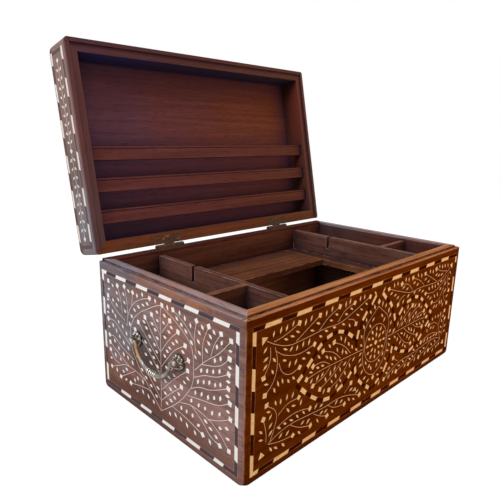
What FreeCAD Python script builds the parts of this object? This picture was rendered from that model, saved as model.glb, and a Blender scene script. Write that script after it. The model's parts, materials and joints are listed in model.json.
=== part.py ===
import FreeCAD, Part
import Sketcher
import os

# A hinged box inlaid with bone and ebony, lid open, with a fitted inside and a drop handle on each end.
# Frame: +X to the right along the front, +Y from the front to the back, +Z up.
# The origin is on the floor, under the centre of the base. All sizes are in millimetres and degrees.

SIZES = {
    # carcase
    "box_length": 460,
    "box_depth": 276,
    "base_height": 177,
    "wall": 16,
    "bottom_thickness": 9,
    "corner_round": 4,
    "bottom_round": 3,
    "corner_wear": 12,
    "wear_ball_inset": 16,
    # rim: a raised inner lip on the base, and the matching outer lip of the lid
    "lip_rise": 3,
    "lip_step": 6,
    "lip_clearance": 0.5,
    "close_gap": 0.4,
    # lid
    "lid_height": 51,
    "lid_top_thickness": 10,
    "lid_long_round": 9,
    "lid_open": 101.8,
    # letter rack in the lid
    "slat_first": 38.5,
    "slat_pitch": 42.3,
    "slat_height": 18.5,
    "slat_thickness": 6,
    "slat_depth": 13,
    "slat_housing": 3,
    "slat_notch": 4,
    "bead_place": 4,
    "bead_width": 1,
    "bead_depth": 0.6,
    # fitted inside
    "floor_drop": 37,
    "floor_thickness": 8.5,
    "well_length": 238,
    "shelf_front": 40,
    "front_ledge": 20,
    "cleat_size": 12,
    "divider_drop": 3,
    "divider_centre": 143.5,
    "divider_thickness": 7,
    "slot_place": 46.5,
    "slot_width": 6,
    "slot_depth": 20.5,
    "partition_place": 50,
    # hinges
    "hinge_centre": 115,
    "hinge_length": 46,
    "leaf_width": 13,
    "leaf_thickness": 1.6,
    "axis_back": 3.6,
    "knuckle_radius": 3,
    "lid_knuckle": 17,
    "knuckle_gap": 0.3,
    "pin_radius": 1.5,
    "pin_head_radius": 2.3,
    "pin_head_length": 1.2,
    "heel_length": 9,
    "heel_gap": 0.1,
    "running_clearance": 0.05,
    "fit_clearance": 0.1,
    # hinge screws
    "screw_pitch": 15,
    "screw_inset": 6.5,
    "screw_head_radius": 2.8,
    "screw_radius": 1.2,
    "screw_length": 11,
    "driver_slot_width": 0.7,
    "driver_slot_depth": 0.6,
    # drop handles
    "handle_drop": 77.4,
    "handle_back": 5.5,
    "post_spacing": 83,
    "rosette_radius": 9.4,
    "rosette_thickness": 2.5,
    "collar_radius": 6.5,
    "collar_end_radius": 3.6,
    "collar_length": 4,
    "boss_radius": 4.6,
    "boss_standoff": 8,
    "shank_radius": 2.4,
    "nut_width": 11,
    "nut_thickness": 4,
    "bail_radius": 1.9,
    "bail_drop": 27,
    "bail_corner": 17,
    "elbow_radius": 2.6,
    "bail_side_gap": 0.4,
    "bail_tip": 1,
    "grip_radius": 2.9,
    "grip_length": 18,
    "ring_radius": 0.8,
    "ring_pitch": 2.4,
    # inlaid borders
    "border_inset": 11,
    "strip_width": 4.5,
    "strip_length": 23.3,
    "strip_slant": 2,
    "strip_thickness": 1.2,
    "lid_rim_inset": 12,
    "lid_end_inset": 6.5,
    "lid_long_inset": 12,
    "lid_top_inset": 14,
    # how far a cutting solid runs past the face that it cuts
    "overcut": 1,
    # two places nearer than this are taken as one
    "same_place": 0.01,
}
RING_COUNT = 5
SCREWS_IN_LEAF = 3
SLAT_NAMES = ("lower", "middle", "upper")
# The least part of a unit tangent along an axis for an edge to count as running along it.
ALONG_SHARE = 0.9
# The shortest piece that may end a row of border strips, as a share of a full strip.
SHORTEST_SHARE = 0.33

doc = FreeCAD.newDocument("inlay_box")
dim = doc.addObject("Spreadsheet::Sheet", "dim")
for row, (alias, value) in enumerate(SIZES.items(), start=1):
    dim.set(f"A{row}", str(value))
    dim.setAlias(f"A{row}", alias)
doc.recompute()

UP = FreeCAD.Vector(0, 0, 1)
ALONG_X = FreeCAD.Rotation(FreeCAD.Vector(0, 1, 0), 90)
ALONG_Y = FreeCAD.Rotation(FreeCAD.Vector(1, 0, 0), -90)
UPSIDE_DOWN = FreeCAD.Rotation(FreeCAD.Vector(1, 0, 0), 180)

# Heights and places that several pieces share, as expressions over the sheet.
RIM_TOP = "(dim.base_height + dim.lip_rise)"
LID_LOW = "(dim.base_height + dim.close_gap)"
LID_SEAT = f"({RIM_TOP} + dim.close_gap)"
LID_TOP = "(dim.base_height + dim.lid_height)"
RAIL_TOP = f"({LID_TOP} - dim.lid_top_thickness)"
HALF_LENGTH = "(dim.box_length / 2)"
HALF_DEPTH = "(dim.box_depth / 2)"
INNER_X = f"({HALF_LENGTH} - dim.wall)"
INNER_Y = f"({HALF_DEPTH} - dim.wall)"
FLOOR_TOP = "(dim.base_height - dim.floor_drop)"
FLOOR_LOW = f"({FLOOR_TOP} - dim.floor_thickness)"
DIVIDER_TOP = "(dim.base_height - dim.divider_drop)"
HANDLE_Z = "(dim.base_height - dim.handle_drop)"
AXIS_Y = f"({HALF_DEPTH} + dim.axis_back)"
AXIS_Z = f"({RIM_TOP} + dim.close_gap / 2)"
HALF_WELL = "(dim.well_length / 2)"

# The four sides, each worked out as if it were the front and then turned about the vertical.
SIDES = {
    "front": (0, "dim.box_length", "dim.box_depth"),
    "right": (90, "dim.box_depth", "dim.box_length"),
    "back": (180, "dim.box_length", "dim.box_depth"),
    "left": (-90, "dim.box_depth", "dim.box_length"),
}


def size(alias):
    return float(dim.get(alias))


def bind(piece, expressions):
    for path, text in expressions.items():
        piece.setExpression(path, text)
    return piece


def place(piece, x, y, z, rotation=None):
    if rotation is not None:
        piece.Placement = FreeCAD.Placement(FreeCAD.Vector(), rotation)
    return bind(piece, {"Placement.Base.x": x, "Placement.Base.y": y, "Placement.Base.z": z})


def box(name, x, y, z):
    """A box given by its low and high limits on each axis."""
    piece = doc.addObject("Part::Box", name)
    for prop, (low, high) in zip(("Length", "Width", "Height"), (x, y, z)):
        piece.setExpression(prop, f"({high}) - ({low})")
    return place(piece, x[0], y[0], z[0])


def cylinder(name, radius, length, x, y, z, rotation=None):
    piece = doc.addObject("Part::Cylinder", name)
    bind(piece, {"Radius": radius, "Height": length})
    return place(piece, x, y, z, rotation)


def cone(name, low_radius, high_radius, length, x, y, z, rotation=None):
    piece = doc.addObject("Part::Cone", name)
    bind(piece, {"Radius1": low_radius, "Radius2": high_radius, "Height": length})
    return place(piece, x, y, z, rotation)


def torus(name, ring, tube, sweep, x, y, z, rotation):
    piece = doc.addObject("Part::Torus", name)
    piece.Angle3 = sweep
    bind(piece, {"Radius1": ring, "Radius2": tube})
    return place(piece, x, y, z, rotation)


def fuse(name, pieces):
    piece = doc.addObject("Part::MultiFuse", name)
    piece.Shapes = pieces
    return piece


def cut(name, base, tools):
    piece = doc.addObject("Part::Cut", name)
    piece.Base = base
    piece.Tool = tools[0] if len(tools) == 1 else fuse(f"{name}_tools", tools)
    return piece


def common(name, base, tool):
    piece = doc.addObject("Part::Common", name)
    piece.Base = base
    piece.Tool = tool
    return piece


def turned(piece, angle):
    """Turns a piece that was worked out at the front round to its own side."""
    piece.Placement = FreeCAD.Placement(FreeCAD.Vector(), FreeCAD.Rotation(UP, angle))
    return piece


def seat_handle(piece, angle):
    """Turns a piece of a handle to its end of the box, where it sits a little behind the middle."""
    return bind(turned(piece, angle), {"Placement.Base.y": "dim.handle_back"})


def opened(piece):
    """Swings a piece of the closed lid about the hinge axis to where the open lid stands."""
    piece.Placement = FreeCAD.Placement(FreeCAD.Vector(), FreeCAD.Rotation(FreeCAD.Vector(-1, 0, 0), 90))
    swung_y = f"{AXIS_Y} * cos(dim.lid_open) + {AXIS_Z} * sin(dim.lid_open)"
    swung_z = f"{AXIS_Z} * cos(dim.lid_open) - {AXIS_Y} * sin(dim.lid_open)"
    return bind(piece, {
        "Placement.Rotation.Angle": "dim.lid_open",
        "Placement.Base.y": f"{AXIS_Y} - ({swung_y})",
        "Placement.Base.z": f"{AXIS_Z} - ({swung_z})",
    })


def edges_where(feature, test):
    """Names of a feature's edges whose middle point passes the test."""
    names = []
    for number, edge in enumerate(feature.Shape.Edges, start=1):
        middle = edge.valueAt((edge.FirstParameter + edge.LastParameter) / 2)
        if test(middle, edge):
            names.append(f"Edge{number}")
    return names


def rounded_block(name, low, high, roundings):
    """A box over the whole plan between two heights, with each set of edges rounded in turn."""
    body = doc.addObject("PartDesign::Body", name)
    plane = [item for item in body.Origin.OriginFeatures if item.Role == "XY_Plane"][0]
    sketch = body.newObject("Sketcher::SketchObject", f"{name}_plan")
    sketch.AttachmentSupport = (plane, [""])
    sketch.MapMode = "FlatFace"
    sketch.setExpression("AttachmentOffset.Base.z", low)
    half_x = size("box_length") / 2
    half_y = size("box_depth") / 2
    corners = [(-half_x, -half_y), (half_x, -half_y), (half_x, half_y), (-half_x, half_y)]
    for start, end in zip(corners, corners[1:] + corners[:1]):
        sketch.addGeometry(Part.LineSegment(FreeCAD.Vector(*start, 0), FreeCAD.Vector(*end, 0)))
    constraint = Sketcher.Constraint
    for line in range(4):
        sketch.addConstraint(constraint("Coincident", line, 2, (line + 1) % 4, 1))
    for line in (0, 2):
        sketch.addConstraint(constraint("Horizontal", line))
        sketch.addConstraint(constraint("Vertical", line + 1))
    sketch.addConstraint(constraint("Symmetric", 0, 1, 1, 2, -1, 1))
    length = sketch.addConstraint(constraint("DistanceX", 0, 1, 0, 2, 2 * half_x))
    sketch.setExpression(f"Constraints[{length}]", "dim.box_length")
    depth = sketch.addConstraint(constraint("DistanceY", 1, 1, 1, 2, 2 * half_y))
    sketch.setExpression(f"Constraints[{depth}]", "dim.box_depth")
    last = body.newObject("PartDesign::Pad", f"{name}_pad")
    last.Profile = sketch
    last.setExpression("Length", f"({high}) - ({low})")
    doc.recompute()
    for number, (radius, test) in enumerate(roundings):
        rounding = body.newObject("PartDesign::Fillet", f"{name}_round_{number}")
        rounding.Base = (last, edges_where(last, test))
        rounding.setExpression("Radius", radius)
        doc.recompute()
        last = rounding
    body.Tip = last
    return body


def upright(middle, edge):
    return abs(edge.tangentAt(edge.FirstParameter).z) > ALONG_SHARE


def at_bottom(middle, edge):
    return middle.z < size("same_place")


def at_lid_top_long(middle, edge):
    on_top = middle.z > size("base_height") + size("lid_height") - size("same_place")
    return on_top and abs(edge.tangentAt(edge.FirstParameter).x) > ALONG_SHARE


def round_lid_end(middle, edge):
    """The upright edges of an end of the lid, the curves above them and the edge across the top."""
    at_end = abs(middle.x) > size("box_length") / 2 - size("same_place")
    low_edge = size("base_height") + size("close_gap")
    return at_end and middle.z > low_edge + size("same_place")


def mitred_board(name, side, low, high):
    """A board of one side, cut at 45 degrees where it meets its neighbours."""
    turn, span, reach = SIDES[side]
    board = doc.addObject("Part::Wedge", name)
    bind(board, {
        "Xmin": f"-{span} / 2",
        "Xmax": f"{span} / 2",
        "X2min": f"-{span} / 2 + dim.wall",
        "X2max": f"{span} / 2 - dim.wall",
        "Ymin": f"-{reach} / 2",
        "Ymax": f"-{reach} / 2 + dim.wall",
        "Zmin": low,
        "Z2min": low,
        "Zmax": high,
        "Z2max": high,
    })
    return turned(board, turn)


def border_groove(name, side, low, high):
    """The groove for a border of strips on one side, between the heights of its two rows."""
    turn, span, reach = SIDES[side]
    edge = f"({span} / 2 - dim.border_inset)"
    half = "dim.strip_width / 2"
    skin = (f"-{reach} / 2 - dim.overcut", f"-{reach} / 2 + dim.strip_thickness")
    outer = box(f"{name}_outer", (f"-{edge} - {half}", f"{edge} + {half}"), skin,
                (f"{low} - {half}", f"{high} + {half}"))
    inner = box(f"{name}_inner", (f"-{edge} + {half}", f"{edge} - {half}"), skin,
                (f"{low} + {half}", f"{high} - {half}"))
    return turned(cut(name, outer, [inner]), turn)


# Heights of the two rows of each border: on the base, on the ends of the lid and on its long sides.
BASE_ROWS = ("dim.border_inset", "(dim.base_height - dim.border_inset)")
LID_LOW_ROW = f"({LID_LOW} + dim.lid_rim_inset)"
LID_ROWS = {
    "front": (LID_LOW_ROW, f"({LID_TOP} - dim.lid_long_inset)"),
    "back": (LID_LOW_ROW, f"({LID_TOP} - dim.lid_long_inset)"),
    "left": (LID_LOW_ROW, f"({LID_TOP} - dim.lid_end_inset)"),
    "right": (LID_LOW_ROW, f"({LID_TOP} - dim.lid_end_inset)"),
}

# Base carcase: a rounded block with worn bottom corners and a stepped rim, parted into four mitred boards
# round a bottom board.
base_block = rounded_block("base_block", "0", RIM_TOP, [
    ("dim.corner_round", upright),
    ("dim.bottom_round", at_bottom),
])


def corner_limits(half, sign):
    """From a little outside a face to just past the wear, at the low (-1) or the high (1) end of an axis."""
    if sign < 0:
        return f"-{half} - dim.overcut", f"-{half} + dim.corner_wear + dim.overcut"
    return f"{half} - dim.corner_wear - dim.overcut", f"{half} + dim.overcut"


def worn_corner(name, end_sign, side_sign):
    """What wear takes off one bottom corner: all that stands out of a ball inside it."""
    ball = doc.addObject("Part::Sphere", f"{name}_ball")
    bind(ball, {"Radius": "sqrt((dim.wear_ball_inset - dim.corner_wear)^2 + 2 * dim.wear_ball_inset^2)"})
    place(ball, f"{end_sign} * ({HALF_LENGTH} - dim.wear_ball_inset)",
          f"{side_sign} * ({HALF_DEPTH} - dim.wear_ball_inset)", "dim.wear_ball_inset")
    corner = box(f"{name}_block", corner_limits(HALF_LENGTH, end_sign), corner_limits(HALF_DEPTH, side_sign),
                 ("-dim.overcut", "dim.corner_wear + dim.overcut"))
    return cut(f"{name}_waste", corner, [ball])


worn_corners = [
    worn_corner("left_front_corner", -1, -1),
    worn_corner("left_back_corner", -1, 1),
    worn_corner("right_front_corner", 1, -1),
    worn_corner("right_back_corner", 1, 1),
]
base_worn = cut("base_worn", base_block, worn_corners)
rim_slab = box("rim_slab", (f"-{HALF_LENGTH}", HALF_LENGTH), (f"-{HALF_DEPTH}", HALF_DEPTH),
               ("dim.base_height", RIM_TOP))
rim_lip = box("rim_lip", (f"-{HALF_LENGTH} + dim.lip_step", f"{HALF_LENGTH} - dim.lip_step"),
              (f"-{HALF_DEPTH} + dim.lip_step", HALF_DEPTH), ("dim.base_height", RIM_TOP))
base_stepped = cut("base_stepped", base_worn, [cut("rim_step", rim_slab, [rim_lip])])

# Hinges: a leaf with two knuckles let into the back panel, a leaf with one knuckle let into the lid,
# a pin with peened ends, and a heel on the lid leaf that meets the back of the box and stops the lid.
base_mortises = []
lid_mortises = []
hinge_nodes = []
base_heads = []
base_slots = []
lid_heads = []
lid_slots = []
for hand, sign in (("left", "-1"), ("right", "1")):
    middle = f"({sign} * dim.hinge_centre)"
    start = f"({middle} - dim.hinge_length / 2)"
    end = f"({middle} + dim.hinge_length / 2)"
    knuckle_low = f"({middle} - dim.lid_knuckle / 2)"
    knuckle_high = f"({middle} + dim.lid_knuckle / 2)"
    side_knuckle = "((dim.hinge_length - dim.lid_knuckle) / 2 - dim.knuckle_gap)"
    leaf_y = (f"{HALF_DEPTH} - dim.leaf_width", HALF_DEPTH)
    tongue_y = (f"{HALF_DEPTH} - dim.leaf_thickness", AXIS_Y)
    base_z = (f"{RIM_TOP} - dim.leaf_thickness", RIM_TOP)
    lid_z = (LID_SEAT, f"{LID_SEAT} + dim.leaf_thickness")
    bore = cylinder(f"{hand}_hinge_bore", "dim.pin_radius + dim.running_clearance", "dim.hinge_length",
                    start, AXIS_Y, AXIS_Z, ALONG_X)

    base_parts = [box(f"{hand}_base_plate", (start, end), leaf_y, base_z)]
    for number, low in enumerate((start, f"({knuckle_high} + dim.knuckle_gap)")):
        base_parts.append(cylinder(f"{hand}_base_knuckle_{number}", "dim.knuckle_radius", side_knuckle,
                                   low, AXIS_Y, AXIS_Z, ALONG_X))
        base_parts.append(box(f"{hand}_base_tongue_{number}", (low, f"{low} + {side_knuckle}"),
                              tongue_y, base_z))
    lid_parts = [
        box(f"{hand}_lid_plate", (start, end), leaf_y, lid_z),
        cylinder(f"{hand}_lid_knuckle", "dim.knuckle_radius", "dim.lid_knuckle",
                 knuckle_low, AXIS_Y, AXIS_Z, ALONG_X),
        box(f"{hand}_lid_tongue", (knuckle_low, knuckle_high), tongue_y, lid_z),
    ]

    base_sinks = [bore]
    lid_sinks = [bore]
    mortise_x = (f"{start} - dim.fit_clearance", f"{end} + dim.fit_clearance")
    mortise_y = (f"{leaf_y[0]} - dim.fit_clearance", f"{HALF_DEPTH} + dim.overcut")
    base_mortise_z = (base_z[0], f"{RIM_TOP} + dim.overcut")
    lid_mortise_z = (f"{LID_SEAT} - dim.overcut", lid_z[1])
    base_mortises.append(box(f"{hand}_base_mortise", mortise_x, mortise_y, base_mortise_z))
    lid_mortises.append(box(f"{hand}_lid_mortise", mortise_x, mortise_y, lid_mortise_z))
    sink_y = f"({HALF_DEPTH} - dim.screw_inset)"
    for number in range(SCREWS_IN_LEAF):
        sink_x = f"({middle} + {number - (SCREWS_IN_LEAF - 1) / 2} * dim.screw_pitch)"
        wide = ("dim.screw_radius + dim.fit_clearance", "dim.screw_head_radius + dim.fit_clearance")
        slim = ("dim.screw_radius", "dim.screw_head_radius")
        slot_x = (f"{sink_x} - dim.screw_head_radius", f"{sink_x} + dim.screw_head_radius")
        slot_y = (f"{sink_y} - dim.driver_slot_width / 2", f"{sink_y} + dim.driver_slot_width / 2")
        tag = f"{hand}_{number}"
        head_depth = "dim.leaf_thickness"
        pilot_low = (sink_x, sink_y, f"{base_z[0]} - dim.screw_length")
        on_base = (sink_x, sink_y, base_z[0])
        on_lid = (sink_x, sink_y, lid_z[1])
        base_sinks.append(cone(f"base_sink_{tag}", *wide, head_depth, *on_base))
        lid_sinks.append(cone(f"lid_sink_{tag}", *wide, head_depth, *on_lid, UPSIDE_DOWN))
        base_mortises.append(cylinder(f"base_pilot_{tag}", wide[0], "dim.screw_length", *pilot_low))
        lid_mortises.append(cylinder(f"lid_pilot_{tag}", wide[0], "dim.screw_length", *on_lid))
        base_heads.append(cone(f"base_head_{tag}", *slim, head_depth, *on_base))
        base_heads.append(cylinder(f"base_shank_{tag}", slim[0], "dim.screw_length", *pilot_low))
        base_slots.append(box(f"base_slot_{tag}", slot_x, slot_y,
                              (f"{RIM_TOP} - dim.driver_slot_depth", f"{RIM_TOP} + dim.overcut")))
        lid_heads.append(cone(f"lid_head_{tag}", *slim, head_depth, *on_lid, UPSIDE_DOWN))
        lid_heads.append(cylinder(f"lid_shank_{tag}", slim[0], "dim.screw_length", *on_lid))
        lid_slots.append(box(f"lid_slot_{tag}", slot_x, slot_y,
                             (f"{LID_SEAT} - dim.overcut", f"{LID_SEAT} + dim.driver_slot_depth")))

    base_leaf = cut(f"{hand}_hinge_base_leaf", fuse(f"{hand}_base_leaf_blank", base_parts), base_sinks)
    swung_leaf = opened(cut(f"{hand}_lid_leaf_swung", fuse(f"{hand}_lid_leaf_blank", lid_parts), lid_sinks))
    heel_y = f"({HALF_DEPTH} + dim.heel_gap)"
    heel = box(f"{hand}_heel", (knuckle_low, knuckle_high), (heel_y, f"{heel_y} + dim.leaf_thickness"),
               (f"{AXIS_Z} - dim.heel_length", AXIS_Z))
    heeled_leaf = fuse(f"{hand}_lid_leaf_heeled", [swung_leaf, heel])
    lid_leaf = cut(f"{hand}_hinge_lid_leaf", heeled_leaf, [bore])
    head = ("dim.pin_head_radius", "dim.pin_head_length")
    pin = fuse(f"{hand}_hinge_pin", [
        cylinder(f"{hand}_pin_rod", "dim.pin_radius", "dim.hinge_length", start, AXIS_Y, AXIS_Z, ALONG_X),
        cylinder(f"{hand}_pin_head_a", *head, f"{start} - dim.pin_head_length", AXIS_Y, AXIS_Z, ALONG_X),
        cylinder(f"{hand}_pin_head_b", *head, end, AXIS_Y, AXIS_Z, ALONG_X),
    ])
    hinge_nodes.extend([base_leaf, lid_leaf, pin])
hinge_base_screws = cut("hinge_base_screws", fuse("base_screw_blanks", base_heads), base_slots)
hinge_lid_screws = opened(cut("hinge_lid_screws", fuse("lid_screw_blanks", lid_heads), lid_slots))

# Drop handles: on each end two posts with a shank through the wall and a square nut inside,
# and a bail whose bent ends turn in the bosses of the posts. Each is worked out at the front and seated.
handle_nodes = []
wall_holes = {}
for side in ("left", "right"):
    turn, span, reach = SIDES[side]
    face = f"(-{reach} / 2)"
    boss_y = f"({face} - dim.boss_standoff)"
    half = "(dim.post_spacing / 2)"
    arm = f"({half} - dim.boss_radius - dim.bail_side_gap - dim.elbow_radius)"
    low_z = f"({HANDLE_Z} - dim.bail_drop)"
    corner_z = f"({low_z} + dim.bail_corner)"
    posts = []
    bores = []
    nuts = []
    nut_holes = []
    holes = []
    bail = [cylinder(f"{side}_grip", "dim.grip_radius", "dim.grip_length",
                     "-dim.grip_length / 2", boss_y, low_z, ALONG_X)]
    for number in range(RING_COUNT):
        ring_x = f"{number - (RING_COUNT - 1) / 2} * dim.ring_pitch"
        bail.append(torus(f"{side}_ring_{number}", "dim.grip_radius", "dim.ring_radius", 360,
                          ring_x, boss_y, low_z, ALONG_X))
    bail.append(cylinder(f"{side}_bail_low", "dim.bail_radius", f"2 * ({arm} - dim.bail_corner)",
                         f"-({arm} - dim.bail_corner)", boss_y, low_z, ALONG_X))
    for number, sign in enumerate(("-1", "1")):
        tag = f"{side}_{number}"
        post_x = f"({sign} * {half})"
        arm_x = f"({sign} * {arm})"
        posts.append(cylinder(f"rosette_{tag}", "dim.rosette_radius", "dim.rosette_thickness", post_x,
                              f"{face} - dim.rosette_thickness", HANDLE_Z, ALONG_Y))
        collar_low = f"{face} - dim.rosette_thickness - dim.collar_length"
        posts.append(cone(f"collar_{tag}", "dim.collar_end_radius", "dim.collar_radius", "dim.collar_length",
                          post_x, collar_low, HANDLE_Z, ALONG_Y))
        boss = doc.addObject("Part::Sphere", f"boss_{tag}")
        boss.setExpression("Radius", "dim.boss_radius")
        posts.append(place(boss, post_x, boss_y, HANDLE_Z))
        shank_length = "dim.boss_standoff + dim.wall + dim.nut_thickness"
        posts.append(cylinder(f"shank_{tag}", "dim.shank_radius", shank_length,
                              post_x, boss_y, HANDLE_Z, ALONG_Y))
        bores.append(cylinder(f"boss_bore_{tag}", "dim.bail_radius + dim.running_clearance",
                              "4 * dim.boss_radius", f"{post_x} - 2 * dim.boss_radius", boss_y,
                              HANDLE_Z, ALONG_X))
        inside = f"({face} + dim.wall)"
        nuts.append(box(f"nut_{tag}", (f"{post_x} - dim.nut_width / 2", f"{post_x} + dim.nut_width / 2"),
                        (inside, f"{inside} + dim.nut_thickness"),
                        (f"{HANDLE_Z} - dim.nut_width / 2", f"{HANDLE_Z} + dim.nut_width / 2")))
        for holder, name in ((nut_holes, "nut_hole"), (holes, "wall_hole")):
            holder.append(cylinder(f"{name}_{tag}", "dim.shank_radius + dim.running_clearance",
                                   "dim.wall + dim.nut_thickness + 2 * dim.overcut", post_x,
                                   f"{face} - dim.overcut", HANDLE_Z, ALONG_Y))
        stub = f"({half} + dim.boss_radius + dim.bail_tip)"
        bent = f"({arm} + dim.elbow_radius)"
        stub_low = bent if sign == "1" else f"-{stub}"
        bail.append(cylinder(f"stub_{tag}", "dim.bail_radius", f"{stub} - {bent}", stub_low, boss_y,
                             HANDLE_Z, ALONG_X))
        facing = FreeCAD.Rotation(FreeCAD.Vector(1, 0, 0), 90)
        elbow_turn = 90 if sign == "1" else 0
        corner_turn = 270 if sign == "1" else 180
        bail.append(torus(f"elbow_{tag}", "dim.elbow_radius", "dim.bail_radius", 90,
                          f"{sign} * {bent}", boss_y, f"{HANDLE_Z} - dim.elbow_radius",
                          facing.multiply(FreeCAD.Rotation(UP, elbow_turn))))
        arm_length = f"{HANDLE_Z} - dim.elbow_radius - {corner_z}"
        bail.append(cylinder(f"arm_{tag}", "dim.bail_radius", arm_length, arm_x, boss_y, corner_z))
        bail.append(torus(f"corner_{tag}", "dim.bail_corner", "dim.bail_radius", 90,
                          f"{sign} * ({arm} - dim.bail_corner)", boss_y, corner_z,
                          facing.multiply(FreeCAD.Rotation(UP, corner_turn))))
    wall_holes[side] = seat_handle(fuse(f"{side}_wall_holes", holes), turn)
    post_blanks = fuse(f"{side}_post_blanks", posts)
    nut_blanks = fuse(f"{side}_nut_blanks", nuts)
    handle_nodes.append(seat_handle(cut(f"{side}_handle_posts", post_blanks, bores), turn))
    handle_nodes.append(seat_handle(cut(f"{side}_handle_nuts", nut_blanks, nut_holes), turn))
    handle_nodes.append(seat_handle(fuse(f"{side}_handle_bail", bail), turn))

base_nodes = []
for side in SIDES:
    tools = [border_groove(f"base_{side}_groove", side, *BASE_ROWS)]
    if side in wall_holes:
        tools.append(wall_holes[side])
    if side == "back":
        tools.extend(base_mortises)
    board = mitred_board(f"base_{side}_board", side, "0", RIM_TOP)
    base_nodes.append(cut(f"base_{side}_panel", common(f"base_{side}_blank", base_stepped, board), tools))
base_nodes.append(box("base_bottom_panel", (f"-{INNER_X}", INNER_X), (f"-{INNER_Y}", INNER_Y),
                      ("0", "dim.bottom_thickness")))

# Fitted inside: a raised floor of four boards round the well, on cleats along the walls,
# with two dividers and two cross partitions standing on it.
floor_z = (FLOOR_LOW, FLOOR_TOP)
cleat_z = (f"{FLOOR_LOW} - dim.cleat_size", FLOOR_LOW)
full_y = (f"-{INNER_Y}", INNER_Y)
well_x = (f"-{HALF_WELL}", HALF_WELL)
short_x = (f"-{INNER_X} + dim.cleat_size", f"{INNER_X} - dim.cleat_size")
base_nodes += [
    box("raised_floor_left", (f"-{INNER_X}", f"-{HALF_WELL}"), full_y, floor_z),
    box("raised_floor_right", (HALF_WELL, INNER_X), full_y, floor_z),
    box("raised_floor_back", well_x, ("dim.shelf_front", INNER_Y), floor_z),
    box("raised_floor_front", well_x, (f"-{INNER_Y}", f"-{INNER_Y} + dim.front_ledge"), floor_z),
    box("floor_cleat_left", (f"-{INNER_X}", f"-{INNER_X} + dim.cleat_size"), full_y, cleat_z),
    box("floor_cleat_right", (f"{INNER_X} - dim.cleat_size", INNER_X), full_y, cleat_z),
    box("floor_cleat_front", short_x, (f"-{INNER_Y}", f"-{INNER_Y} + dim.cleat_size"), cleat_z),
    box("floor_cleat_back", short_x, (f"{INNER_Y} - dim.cleat_size", INNER_Y), cleat_z),
]
standing_z = (FLOOR_TOP, DIVIDER_TOP)
for hand, sign in (("left", "-1"), ("right", "1")):
    near = f"({sign} * dim.divider_centre - dim.divider_thickness / 2)"
    far = f"({sign} * dim.divider_centre + dim.divider_thickness / 2)"
    blank = box(f"{hand}_divider_blank", (near, far), full_y, standing_z)
    slot = box(f"{hand}_divider_slot", (f"{near} - dim.overcut", f"{far} + dim.overcut"),
               ("dim.slot_place - dim.slot_width / 2", "dim.slot_place + dim.slot_width / 2"),
               (f"{DIVIDER_TOP} - dim.slot_depth", f"{DIVIDER_TOP} + dim.overcut"))
    base_nodes.append(cut(f"{hand}_divider", blank, [slot]))
    partition_x = (f"-{INNER_X}", near) if hand == "left" else (far, INNER_X)
    base_nodes.append(box(f"{hand}_cross_partition", partition_x,
                          ("-dim.partition_place - dim.divider_thickness / 2",
                           "-dim.partition_place + dim.divider_thickness / 2"), standing_z))

# Lid, worked out closed and then swung open: four mitred rails with an outer lip, and a top board.
lid_block = rounded_block("lid_block", LID_LOW, LID_TOP, [
    ("dim.lid_long_round", at_lid_top_long),
    ("dim.corner_round", round_lid_end),
])
lid_lip = "(dim.lip_step - dim.lip_clearance)"
seat = box("lid_seat", (f"-{HALF_LENGTH} + {lid_lip}", f"{HALF_LENGTH} - {lid_lip}"),
           (f"-{HALF_DEPTH} + {lid_lip}", f"{HALF_DEPTH} + dim.overcut"),
           (f"{LID_LOW} - dim.overcut", LID_SEAT))
lid_stepped = cut("lid_stepped", lid_block, [seat])
lid_grooves = {side: border_groove(f"lid_{side}_groove", side, *LID_ROWS[side]) for side in SIDES}

# Each slat of the letter rack is housed in both end rails, with its housing left open towards the rim.
slat_nodes = []
housings = []
for number, name in enumerate(SLAT_NAMES):
    low = f"(dim.slat_first + {number} * dim.slat_pitch)"
    high = f"({low} + dim.slat_height)"
    slat_y = (f"{HALF_DEPTH} - {high}", f"{HALF_DEPTH} - {low}")
    slat_z = ("dim.base_height + dim.slat_depth", "dim.base_height + dim.slat_depth + dim.slat_thickness")
    slat_x = (f"-{INNER_X} - dim.slat_housing", f"{INNER_X} + dim.slat_housing")
    blank = box(f"{name}_slat_blank", slat_x, slat_y, slat_z)
    bead_y = f"({HALF_DEPTH} - {high} + dim.bead_place)"
    bead = box(f"{name}_slat_bead", slat_x, (bead_y, f"{bead_y} + dim.bead_width"),
               (f"{slat_z[0]} - dim.overcut", f"{slat_z[0]} + dim.bead_depth"))
    slat_nodes.append(opened(cut(f"letter_rack_slat_{name}", blank, [bead])))
    housing_z = (f"{slat_z[0]} - dim.slat_notch", slat_z[1])
    housings.append(box(f"{name}_slat_housing", slat_x, slat_y, housing_z))
lid_nodes = []
for side in SIDES:
    tools = [lid_grooves[side]]
    if side in ("left", "right"):
        tools.extend(housings)
    if side == "back":
        tools.extend(lid_mortises)
    board = mitred_board(f"lid_{side}_board", side, LID_LOW, RAIL_TOP)
    blank = common(f"lid_{side}_blank", lid_stepped, board)
    lid_nodes.append(opened(cut(f"lid_{side}_rail", blank, tools)))
top_slab = box("top_slab", (f"-{HALF_LENGTH}", HALF_LENGTH), (f"-{HALF_DEPTH}", HALF_DEPTH),
               (RAIL_TOP, LID_TOP))
top_x = f"({HALF_LENGTH} - dim.lid_top_inset)"
top_y = f"({HALF_DEPTH} - dim.lid_top_inset)"
top_skin = (f"{LID_TOP} - dim.strip_thickness", f"{LID_TOP} + dim.overcut")
half_strip = "dim.strip_width / 2"
top_outer = box("top_groove_outer", (f"-{top_x} - {half_strip}", f"{top_x} + {half_strip}"),
                (f"-{top_y} - {half_strip}", f"{top_y} + {half_strip}"), top_skin)
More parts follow.
